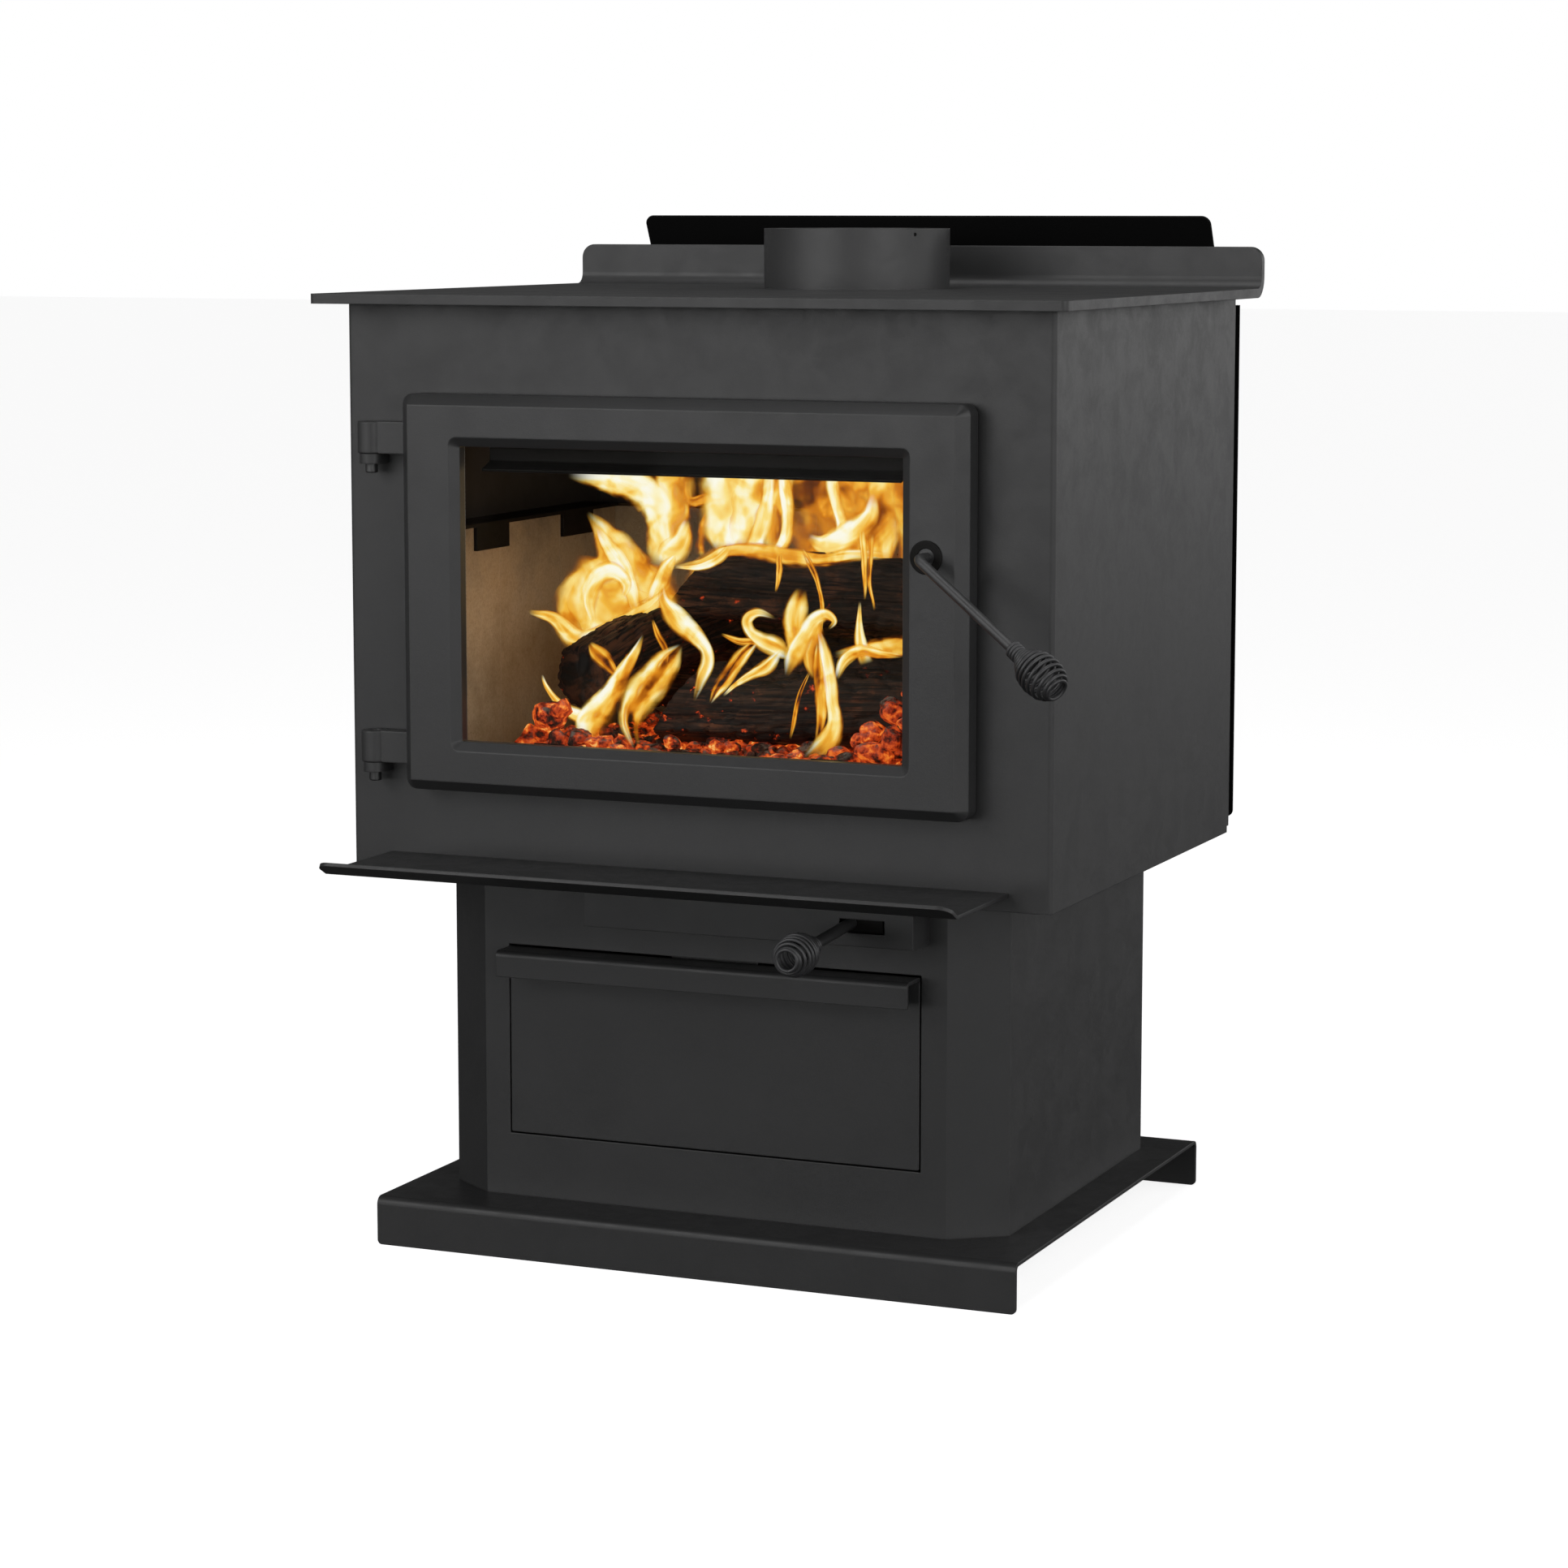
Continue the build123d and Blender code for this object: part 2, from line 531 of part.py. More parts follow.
with BuildPart() as air_wash_channel:
    with BuildSketch(Plane.YZ):
        with Locations((DUCT_FRONT + DUCT / 2, (WASH_LOW + WASH_HIGH) / 2)):
            Rectangle(DUCT, WASH_HIGH - WASH_LOW)
            Rectangle(DUCT - 2 * THIN, WASH_HIGH - WASH_LOW - 2 * THIN, mode=Mode.SUBTRACT)
    extrude(amount=DUCT_RIGHT, both=True)
    with BuildSketch(Plane.XY.offset(WASH_LOW)):
        with Locations((0, DUCT_FRONT + THIN + WASH_SLOT / 2)):
            Rectangle(LIP_W, WASH_SLOT)
        for sign in (-1, 1):
            with Locations((sign * (DUCT_RIGHT - DUCT / 2), DUCT_FRONT + DUCT / 2)):
                Rectangle(DUCT - 2 * THIN, DUCT - 2 * THIN)
    extrude(amount=THIN, mode=Mode.SUBTRACT)
save(air_wash_channel, "air_wash_channel")

LIP_BEND_Z, LIP_TIP_Z, LIP_TIP_Y = 648.0, 642.0, 5.0
with BuildPart() as air_wash_lip:
    with BuildSketch(Plane.YZ):
        with BuildLine():
            FilletPolyline((DUCT_FRONT + 6, WASH_LOW), (DUCT_FRONT + 6, LIP_BEND_Z), (LIP_TIP_Y, LIP_TIP_Z),
                           radius=3)
        trace(line_width=THIN)
    extrude(amount=LIP_W / 2, both=True)
save(air_wash_lip, "air_wash_lip")

# ---------------------------------------------------------------- firebrick lining
LINING_FRONT = DUCT_FRONT + DUCT + 2
BRICK_JOINT = 0.5
floor_columns = [(-2.5 + n) * (BRICK_W + BRICK_JOINT) for n in range(5)]
with BuildPart() as floor_bricks:
    with BuildSketch(Plane.XY.offset(FLOOR_TOP + GAP)):
        for left in floor_columns:
            for start, end in row(BODY_REAR - 1 - LINING_FRONT, BRICK_L, BRICK_JOINT):
                front, rear = LINING_FRONT + start, LINING_FRONT + end
                if left < 0 < left + BRICK_W and start == 0:
                    front = PLUG_REAR + 6
                with Locations((left, front)):
                    Rectangle(BRICK_W, rear - front, align=(Align.MIN, Align.MIN))
    extrude(amount=BRICK_T)
save(floor_bricks, "floor_bricks")

with BuildPart() as side_bricks:
    with BuildSketch(Plane.XY.offset(HEARTH + GAP)):
        for sign in (-1, 1):
            for start, end in row(LINING_REAR - 1 - LINING_FRONT, BRICK_W, BRICK_JOINT):
                with Locations((sign * (LINING + BRICK_T / 2), LINING_REAR - 1 - (start + end) / 2)):
                    Rectangle(BRICK_T, end - start)
    extrude(amount=BRICK_L)
save(side_bricks, "side_bricks")

with BuildPart() as rear_bricks:
    with BuildSketch(Plane.XY.offset(HEARTH + GAP)):
        for start, end in row(2 * INNER - 2 * GAP, BRICK_W, BRICK_JOINT):
            with Locations((-INNER + GAP + (start + end) / 2, LINING_REAR + BRICK_T / 2)):
                Rectangle(end - start, BRICK_T)
    extrude(amount=BRICK_L)
save(rear_bricks, "rear_bricks")

RAIL_Z = LINING_TOP + GAP
RAIL_LIP = 20.0
CLIP_LENGTH = 60.0
with BuildPart() as brick_rails:
    for sign in (-1, 1):
        with BuildSketch(Plane.XY.offset(RAIL_Z)):
            with Locations((sign * (INNER + LINING - SHEET - GAP) / 2, (LINING_FRONT + LINING_REAR) / 2)):
                Rectangle(INNER - LINING + SHEET + GAP, LINING_REAR - LINING_FRONT - 2)
    extrude(amount=SHEET)
    with BuildSketch(Plane.XY.offset(RAIL_Z)):
        for sign in (-1, 1):
            with Locations(*[(sign * (LINING - SHEET / 2 - GAP), y) for y in (185.0, 350.0)]):
                Rectangle(SHEET, CLIP_LENGTH)
    extrude(amount=-RAIL_LIP)
save(brick_rails, "brick_rails")

# ---------------------------------------------------------------- secondary air tubes and baffle
TUBE_R, TUBE_Z = 12.7, 688.0
TUBE_YS = (110.0, 195.0, 280.0, 365.0)
MANIFOLD_W, MANIFOLD_H = 28.0, 36.0
JET_R, JETS = 2.5, 14
MANIFOLD_X = INNER - GAP - MANIFOLD_W / 2
TUBE_REACH = MANIFOLD_X - MANIFOLD_W / 2
with BuildPart() as tube_manifolds:
    for sign in (-1, 1):
        with BuildSketch(facing(70)):
            with Locations((sign * MANIFOLD_X, TUBE_Z)):
                Rectangle(MANIFOLD_W, MANIFOLD_H)
                Rectangle(MANIFOLD_W - 2 * THIN, MANIFOLD_H - 2 * THIN, mode=Mode.SUBTRACT)
    extrude(amount=-(BODY_REAR - GAP - 70))
    with BuildSketch(Plane.YZ.offset(-TUBE_REACH - THIN)):
        with Locations(*[(y, TUBE_Z) for y in TUBE_YS]):
            Circle(TUBE_R - THIN)
    extrude(amount=2 * (TUBE_REACH + THIN), mode=Mode.SUBTRACT)
save(tube_manifolds, "tube_manifolds")

with BuildPart() as secondary_tubes:
    with BuildSketch(Plane.YZ.offset(-TUBE_REACH)):
        with Locations(*[(y, TUBE_Z) for y in TUBE_YS]):
            Circle(TUBE_R)
            Circle(TUBE_R - THIN, mode=Mode.SUBTRACT)
    extrude(amount=2 * TUBE_REACH)
    jet_pitch = 2 * TUBE_REACH / (JETS + 1)
    for y in TUBE_YS:
        with BuildSketch(facing(y - TUBE_R - 1)):
            with Locations(*[(jet_pitch * (n - (JETS - 1) / 2), TUBE_Z) for n in range(JETS)]):
                Circle(JET_R)
        extrude(amount=-TUBE_R, mode=Mode.SUBTRACT)
save(secondary_tubes, "secondary_tubes")

BAFFLE_Z, BAFFLE_T = TUBE_Z + MANIFOLD_H / 2 + GAP, 14.0
with BuildPart() as baffle_boards:
    with BuildSketch(Plane.XY.offset(BAFFLE_Z)):
        for sign in (-1, 1):
            with Locations((sign * (INNER - 2) / 2, (100 + BODY_REAR - GAP) / 2)):
                Rectangle(INNER - 3, BODY_REAR - GAP - 100)
    extrude(amount=BAFFLE_T)
save(baffle_boards, "baffle_boards")

# ---------------------------------------------------------------- ash plug
PLUG_T = HEARTH - FLOOR_TOP - GAP
with BuildPart() as ash_plug:
    with BuildSketch(Plane.XY.offset(FLOOR_TOP + GAP)):
        with Locations((0, (PLUG_FRONT + PLUG_REAR) / 2)):
            Rectangle(PLUG_W, PLUG_REAR - PLUG_FRONT)
    extrude(amount=PLUG_T)
    fillet(ash_plug.edges().filter_by(Axis.Z), radius=4)
    with BuildSketch(Plane.XY.offset(HEARTH)):
        with Locations((0, (PLUG_FRONT + PLUG_REAR) / 2)):
            SlotOverall(56, 24)
            Rectangle(8, 30, mode=Mode.SUBTRACT)
    extrude(amount=-16, mode=Mode.SUBTRACT)
    chamfer(ash_plug.edges().group_by(Axis.Z)[-1], length=1)
save(ash_plug, "ash_plug")

# ---------------------------------------------------------------- fire: bed of embers and split logs
BED_FRONT, BED_REAR, BED_HALF, BED_TOP = 62.0, 420.0, 215.0, 404.0
with BuildPart() as ember_bed:
    with BuildSketch(Plane.XY.offset(HEARTH + GAP)):
        with Locations((0, (BED_FRONT + BED_REAR) / 2)):
            RectangleRounded(2 * BED_HALF, BED_REAR - BED_FRONT, radius=30)
        with Locations((0, BED_FRONT)):
            Rectangle(PLUG_W + 16, 2 * (PLUG_REAR + 8 - BED_FRONT), mode=Mode.SUBTRACT)
    extrude(amount=BED_TOP - HEARTH - GAP, taper=14)
save(ember_bed, "ember_bed")

# each log: the two ends of its axis, its radius, and how far its split faces are turned
LOGS = (
    ((-205, 362, 450), (205, 356, 451), 42, 10),
    ((-60, 268, 451), (236, 260, 450), 43, 50),
    ((-78, 160, 446), (238, 170, 445), 38, 35),
    ((-152, 108, 464), (-137, 296, 512), 34, 20),
    ((-94, 238, 543), (238, 226, 534), 37, 0),
)
with BuildPart() as firewood_logs:
    for start, end, radius, turn in LOGS:
        with BuildSketch(toward(start, end)):
            RegularPolygon(radius=radius, side_count=9, rotation=turn)
        extrude(amount=(Vector(*end) - Vector(*start)).length)
save(firewood_logs, "firewood_logs")

# ---------------------------------------------------------------- door
with BuildPart() as door_frame:
    with BuildSketch(facing(DOOR_BACK)):
        with Locations((0, DOOR_Z)):
            RectangleRounded(DOOR_W, DOOR_HIGH - DOOR_LOW, radius=9)
    extrude(amount=DOOR_BACK - DOOR_FACE)
    chamfer(door_frame.faces().sort_by(Axis.Y)[0].edges(), length=8.7, length2=9.7,
            reference=door_frame.faces().sort_by(Axis.Y)[0])
    with BuildSketch(facing(DOOR_FACE)) as window_mouth:
        with Locations((0, WINDOW_Z)):
            RectangleRounded(WINDOW_W + 2 * BEVEL_W, WINDOW_H + 2 * BEVEL_W, radius=7)
    with BuildSketch(facing(DOOR_FACE + BEVEL_D)) as window_throat:
        with Locations((0, WINDOW_Z)):
            RectangleRounded(WINDOW_W, WINDOW_H, radius=1)
    loft(mode=Mode.SUBTRACT)
    with BuildSketch(facing(DOOR_FACE + BEVEL_D)):
        with Locations((0, WINDOW_Z)):
            RectangleRounded(WINDOW_W, WINDOW_H, radius=1)
    extrude(amount=-30, mode=Mode.SUBTRACT)
    with BuildSketch(facing(DOOR_BACK)):
        with Locations((0, WINDOW_Z)):
            Rectangle(GLASS_W + 4, GLASS_H + 4)
    extrude(amount=DOOR_BACK - REBATE_FLOOR, mode=Mode.SUBTRACT)
    with BuildSketch(facing(DOOR_BACK)):
        with Locations((0, OPENING_Z)):
            rope_mid_w, rope_mid_h = OPENING_W + 2 * ROPE_OFFSET, OPENING_H + 2 * ROPE_OFFSET
            RectangleRounded(rope_mid_w + ROPE_W, rope_mid_h + ROPE_W, radius=18)
            RectangleRounded(rope_mid_w - ROPE_W, rope_mid_h - ROPE_W, radius=4, mode=Mode.SUBTRACT)
    extrude(amount=7, mode=Mode.SUBTRACT)
    with BuildSketch(facing(DOOR_FACE)):
        with Locations((HANDLE_X, HANDLE_Z)):
            Circle(HUB_R + 1.5)
    extrude(amount=-30, mode=Mode.SUBTRACT)
save(door_frame, "door_frame")

with BuildPart() as glass_gasket:
    with BuildSketch(facing(REBATE_FLOOR)):
        with Locations((0, WINDOW_Z)):
            Rectangle(GLASS_W, GLASS_H)
            Rectangle(WINDOW_W + 1, WINDOW_H + 1, mode=Mode.SUBTRACT)
    extrude(amount=-GASKET_T)
save(glass_gasket, "glass_gasket")

with BuildPart() as door_glass:
    with BuildSketch(facing(REBATE_FLOOR + GASKET_T)):
        with Locations((0, WINDOW_Z)):
            RectangleRounded(GLASS_W, GLASS_H, radius=3)
    extrude(amount=-GLASS_T)
    chamfer(door_glass.faces().sort_by(Axis.Y)[0].edges(), length=0.5)
save(door_glass, "door_glass")

CLIP_Y = REBATE_FLOOR + GASKET_T + GLASS_T
CLIP_SPOTS = [(-120.0, 1), (0.0, 1), (120.0, 1), (-120.0, -1), (0.0, -1), (120.0, -1)]
with BuildPart() as glass_clips:
    with BuildSketch(facing(CLIP_Y)):
        for x, end in CLIP_SPOTS:
            with Locations((x, WINDOW_Z + end * (GLASS_H / 2 - 3))):
                Rectangle(26, 8)
    extrude(amount=-THIN)
save(glass_clips, "glass_clips")

with BuildPart() as glass_screws:
    with BuildSketch(facing(CLIP_Y + THIN)):
        for x, end in CLIP_SPOTS:
            with Locations((x, WINDOW_Z + end * (GLASS_H / 2 - 3))):
                Circle(3.4)
    extrude(amount=-2)
save(glass_screws, "glass_screws")

with BuildPart() as door_rope:
    with BuildSketch(facing(DOOR_BACK - 7)):
        with Locations((0, OPENING_Z)):
            RectangleRounded(rope_mid_w + ROPE_W, rope_mid_h + ROPE_W, radius=18)
            RectangleRounded(rope_mid_w - ROPE_W, rope_mid_h - ROPE_W, radius=4, mode=Mode.SUBTRACT)
    extrude(amount=-(FRONT - GAP - DOOR_BACK + 7))
    fillet(door_rope.faces().sort_by(Axis.Y)[-1].edges(), radius=3)
save(door_rope, "door_rope")

STRAP_T = 12.0
with BuildPart() as hinge_knuckles:
    for z in HINGE_ZS:
        with BuildSketch(Plane.XY.offset(z)):
            with Locations((HINGE_X, HINGE_Y)):
                Circle(KNUCKLE_R)
            strap_end = -DOOR_W / 2
            with Locations(((HINGE_X + strap_end) / 2 + 2, HINGE_Y)):
                Rectangle(strap_end - HINGE_X - 4, STRAP_T)
            with Locations((HINGE_X, HINGE_Y)):
                Circle(PIN_R + RUNNING, mode=Mode.SUBTRACT)
    extrude(amount=KNUCKLE_H)
    fillet(hinge_knuckles.faces().filter_by(Plane.XY).edges().filter_by(GeomType.CIRCLE)
           .filter_by(lambda e: e.radius > KNUCKLE_R - 1), radius=1)
save(hinge_knuckles, "hinge_knuckles")

LUG_H = 8.0
with BuildPart() as hinge_lugs:
    for z in HINGE_ZS:
        with BuildSketch(Plane.XY.offset(z - GAP)):
            with Locations((HINGE_X, HINGE_Y)):
                Circle(KNUCKLE_R - 1.5)
            with Locations((HINGE_X, (HINGE_Y + FRONT) / 2)):
                Rectangle(2 * KNUCKLE_R - 3, FRONT - HINGE_Y)
            with Locations((HINGE_X, HINGE_Y)):
                Circle(PIN_R, mode=Mode.SUBTRACT)
    extrude(amount=-LUG_H)
save(hinge_lugs, "hinge_lugs")

PIN_TAIL = 7.5
with BuildPart() as hinge_pins:
    for z in HINGE_ZS:
        low = z - GAP - LUG_H - PIN_TAIL
        with BuildSketch(Plane.XY.offset(low)):
            with Locations((HINGE_X, HINGE_Y)):
                Circle(PIN_R)
        extrude(amount=z + KNUCKLE_H - 1 - low)
    chamfer(hinge_pins.edges().filter_by(GeomType.CIRCLE), length=0.8)
save(hinge_pins, "hinge_pins")

# ---------------------------------------------------------------- door handle and latch
BUSH_R = 13.0
with BuildPart() as handle_bushing:
    with BuildSketch(facing(DOOR_FACE)):
        with Locations((HANDLE_X, HANDLE_Z)):
            Circle(BUSH_R)
    extrude(amount=1.6)
    chamfer(handle_bushing.faces().sort_by(Axis.Y)[0].edges(), length=0.6)
    with BuildSketch(facing(DOOR_FACE)):
        with Locations((HANDLE_X, HANDLE_Z)):
            Circle(HUB_R + 1.5)
    extrude(amount=-(DOOR_BACK - DOOR_FACE))
    with BuildSketch(facing(DOOR_FACE - 2)):
        with Locations((HANDLE_X, HANDLE_Z)):
            Circle(HUB_R + RUNNING)
    extrude(amount=-40, mode=Mode.SUBTRACT)
save(handle_bushing, "handle_bushing")

SHAFT_END = 36.0
handle_plane = toward(HANDLE_BEND, HANDLE_END)
handle_tip = Vector(*HANDLE_END)
handle_root = Vector(*HANDLE_BEND)
rod_end = handle_tip - handle_plane.z_dir * (GRIP_LENGTH - GRIP_HOLD)
with BuildPart() as handle_rod:
    with BuildLine():
        FilletPolyline((HANDLE_X, SHAFT_END, HANDLE_Z), HANDLE_BEND, tuple(rod_end), radius=9)
    with BuildSketch(facing(SHAFT_END)):
        with Locations((HANDLE_X, HANDLE_Z)):
            Circle(HANDLE_ROD_R)
    sweep()
    with BuildSketch(facing(DOOR_FACE - 0.6)):
        with Locations((HANDLE_X, HANDLE_Z)):
            Circle(HUB_R)
    extrude(amount=-(DOOR_BACK - DOOR_FACE + 0.6))
save(handle_rod, "handle_rod")

with BuildPart() as handle_grip:
    with BuildSketch(grip_plane(handle_root, handle_tip)):
        with BuildLine():
            Polyline(*grip_profile(), close=True)
        make_face()
    revolve(axis=Axis(handle_tip, handle_tip - handle_root))
save(handle_grip, "handle_grip")

CAM_FRONT, CAM_T = 17.0, 6.0
with BuildPart() as latch_cam:
    with BuildSketch(facing(CAM_FRONT)):
        with Locations((HANDLE_X, HANDLE_Z)):
            Circle(5.8)
        with Locations((HANDLE_X + 1, HANDLE_Z + 13)):
            Rectangle(8, 26)
        with Locations((HANDLE_X, HANDLE_Z)):
            Circle(HANDLE_ROD_R, mode=Mode.SUBTRACT)
    extrude(amount=-CAM_T)
save(latch_cam, "latch_cam")

with BuildPart() as latch_nut:
    with BuildSketch(facing(CAM_FRONT + CAM_T)):
        with Locations((HANDLE_X, HANDLE_Z)):
            RegularPolygon(radius=6.5, side_count=6, rotation=30)
            Circle(HANDLE_ROD_R, mode=Mode.SUBTRACT)
    extrude(amount=-6)
save(latch_nut, "latch_nut")

with BuildPart() as latch_catch:
    with BuildSketch(Plane.XY.offset(HANDLE_Z - 5)):
        with BuildLine():
            edge = OPENING_W / 2
            Polyline((edge + 1, DUCT_FRONT), (edge + 1, DUCT_FRONT + 14), (edge + 4, DUCT_FRONT + 14),
                     (edge + 4, DUCT_FRONT + SHEET), (edge + 13, DUCT_FRONT + SHEET), (edge + 13, DUCT_FRONT),
                     close=True)
        make_face()
    extrude(amount=50)
save(latch_catch, "latch_catch")
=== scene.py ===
import json
import math
import random

import bmesh
import bpy
from mathutils import Matrix, Vector, noise


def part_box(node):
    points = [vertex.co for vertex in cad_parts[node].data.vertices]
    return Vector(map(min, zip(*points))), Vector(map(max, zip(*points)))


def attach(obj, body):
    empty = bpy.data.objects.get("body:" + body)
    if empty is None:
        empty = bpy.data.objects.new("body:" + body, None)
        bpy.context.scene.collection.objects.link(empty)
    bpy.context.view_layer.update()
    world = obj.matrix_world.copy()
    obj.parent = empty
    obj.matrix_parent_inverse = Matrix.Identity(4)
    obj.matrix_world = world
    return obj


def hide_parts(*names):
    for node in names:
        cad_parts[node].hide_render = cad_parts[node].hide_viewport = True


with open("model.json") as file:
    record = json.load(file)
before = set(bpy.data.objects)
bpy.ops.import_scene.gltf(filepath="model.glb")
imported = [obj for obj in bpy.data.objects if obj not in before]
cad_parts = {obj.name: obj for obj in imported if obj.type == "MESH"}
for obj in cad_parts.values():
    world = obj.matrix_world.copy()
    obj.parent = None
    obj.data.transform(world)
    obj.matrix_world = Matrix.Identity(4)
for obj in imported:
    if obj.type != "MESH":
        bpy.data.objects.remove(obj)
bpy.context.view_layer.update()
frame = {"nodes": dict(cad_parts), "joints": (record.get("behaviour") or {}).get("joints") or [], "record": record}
nodes = frame["nodes"]
scene = bpy.context.scene


# ------------------------------------------------------------------ node trees
class Tree:
    """The node tree of a new material or world, built by naming each node's inputs."""

    def __init__(self, name, kind="materials"):
        self.owner = getattr(bpy.data, kind).new(name)
        self.owner.use_nodes = True
        self.nodes = self.owner.node_tree.nodes
        self.links = self.owner.node_tree.links
        self.nodes.clear()

    def add(self, kind, settings=None, **inputs):
        """Adds a node. settings are its properties. An input is a number, a colour or a socket, and
        goes by its name, with _ for a space, or by its place, as i0, i1 and so on."""
        node = self.nodes.new("ShaderNode" + kind)
        for key, value in (settings or {}).items():
            setattr(node, key, value)
        for key, value in inputs.items():
            by_place = key[0] == "i" and key[1:].isdigit()
            socket = node.inputs[int(key[1:]) if by_place else key.replace("_", " ")]
            if isinstance(value, bpy.types.NodeSocket):
                self.links.new(value, socket)
            else:
                socket.default_value = value
        return node

    def here(self):
        """The piece's own coordinates, in metres."""
        return self.add("TexCoord").outputs["Object"]

    def point(self, scale=(1, 1, 1)):
        """The piece's own coordinates, stretched by scale."""
        return self.add("Mapping", Vector=self.here(), Scale=scale).outputs[0]

    def value(self, name):
        """A float attribute of the mesh's points."""
        return self.add("Attribute", {"attribute_name": name}).outputs["Fac"]

    def noise(self, vector, scale, detail=3.0, rough=0.5, warp=0.0):
        return self.add("TexNoise", Vector=vector, Scale=scale, Detail=detail, Roughness=rough,
                        Distortion=warp).outputs[0]

    def cells(self, vector, scale):
        """Distance to the nearest of scattered points."""
        return self.add("TexVoronoi", Vector=vector, Scale=scale).outputs["Distance"]

    def spread(self, value, low, high, to_low=0.0, to_high=1.0):
        """Remaps low..high to to_low..to_high, with a smooth step."""
        return self.add("MapRange", {"interpolation_type": "SMOOTHSTEP"},
                        i0=value, i1=low, i2=high, i3=to_low, i4=to_high).outputs[0]

    def math(self, operation, a, b=0.0):
        return self.add("Math", {"operation": operation}, i0=a, i1=b).outputs[0]

    def mix(self, factor, a, b):
        return self.add("Mix", {"data_type": "RGBA"}, i0=factor, i6=a, i7=b).outputs[2]

    def ramp(self, factor, *stops):
        """Colours between (position, colour) stops."""
        node = self.add("ValToRGB", i0=factor)
        while len(node.color_ramp.elements) < len(stops):
            node.color_ramp.elements.new(0.5)
        for element, (position, colour) in zip(node.color_ramp.elements, stops):
            element.position = position
            element.color = (*colour, 1)
        return node.outputs[0]

    def bump(self, height, distance, normal=None):
        inputs = {"Height": height, "Distance": distance}
        if normal is not None:
            inputs["Normal"] = normal
        return self.add("Bump", **inputs).outputs[0]

    def edges(self, radius):
        """Rounded normal, and a mask that is 1 along the piece's sharp edges."""
        rounded = self.add("Bevel", {"samples": 5}, Radius=radius).outputs[0]
        flat = self.add("NewGeometry").outputs["Normal"]
        turn = self.add("VectorMath", {"operation": "DOT_PRODUCT"}, i0=rounded, i1=flat)
        return rounded, self.spread(turn.outputs["Value"], 0.995, 0.86)

    def surface(self, shader):
        self.links.new(shader, self.add("OutputMaterial").inputs[0])
        return self.owner

    def principled(self, **inputs):
        return self.surface(self.add("BsdfPrincipled", **inputs).outputs[0])


def shade(tone, factor):
    """A colour made lighter or darker, with its alpha."""
    return (*[c * factor for c in tone], 1)


def stove_paint(name, tone, rough, grain, highlight_share=0.35, edge=0.0011, shine=0.5):
    """Matt black high-temperature paint: fine dry grain, soft mottling, dust, and edges lightened by a painted
    highlight. grain is its scale per metre, the next argument how strongly the painted highlight lightens the
    edges, edge their radius."""
    # pale grey for the painted highlight along the sharp edges
    edge_highlight = (0.13, 0.128, 0.125, 1)
    t = Tree(name)
    at = t.point()
    rounded, edge_mask = t.edges(edge)
    mottle = t.noise(at, 7.0, 4.0, 0.6)
    speck = t.noise(at, 900.0, 2.0, 0.7)
    scuff = t.noise(at, 34.0, 6.0, 0.7, 0.4)
    base = t.mix(t.spread(mottle, 0.3, 0.7), shade(tone, 0.93), shade(tone, 1.07))
    base = t.mix(t.spread(speck, 0.35, 0.75, 0.0, 0.35), base, shade(tone, 1.35))
    # painted highlight: the sharp edges are lightened, broken up by scuff noise
    highlight_mask = t.math("MULTIPLY", edge_mask, t.spread(scuff, 0.3, 0.65, 0.25, 1.0))
    base = t.mix(t.math("MULTIPLY", highlight_mask, highlight_share), base, edge_highlight)
    roughness = t.math("ADD", t.spread(scuff, 0.35, 0.7, rough - 0.05, rough + 0.05),
                       t.spread(speck, 0.3, 0.7, -0.03, 0.03))
    orange_peel = t.bump(t.noise(at, 210.0, 2.0, 0.5), 0.00005, rounded)
    normal = t.bump(t.noise(at, grain, 3.0, 0.6), 0.00006, orange_peel)
    return t.principled(Base_Color=base, Roughness=roughness, Normal=normal, IOR=1.45,
                        Specular_IOR_Level=shine)


def metal(name, tone, rough, brushed, heat=0.0, metallic=0.85):
    """Worn bare or blackened steel with fine drawn lines. brushed is their scale per metre along
    each axis, heat the share of straw and blue heat tints."""
    t = Tree(name)
    rounded, edge_mask = t.edges(0.0006)
    lines = t.noise(t.point(brushed), 1.0, 3.0, 0.6)
    cloud = t.noise(t.point(), 16.0, 4.0, 0.6)
    base = t.mix(t.spread(cloud, 0.3, 0.7), shade(tone, 0.7), shade(tone, 1.2))
    if heat:
        tint = t.ramp(t.noise(t.point(), 9.0, 2.0), (0.35, (0.20, 0.11, 0.05)),
                      (0.5, (0.13, 0.06, 0.07)), (0.65, (0.05, 0.06, 0.10)))
        base = t.mix(heat, base, tint)
    # painted highlight: the sharp edges are lightened to 2.2 times the tone
    base = t.mix(t.math("MULTIPLY", edge_mask, 0.4), base, shade(tone, 2.2))
    roughness = t.math("ADD", t.spread(cloud, 0.3, 0.7, rough - 0.07, rough + 0.09),
                       t.spread(lines, 0.3, 0.7, -0.04, 0.04))
    return t.principled(Base_Color=base, Metallic=metallic, Roughness=roughness,
                        Normal=t.bump(lines, 0.00004, rounded))


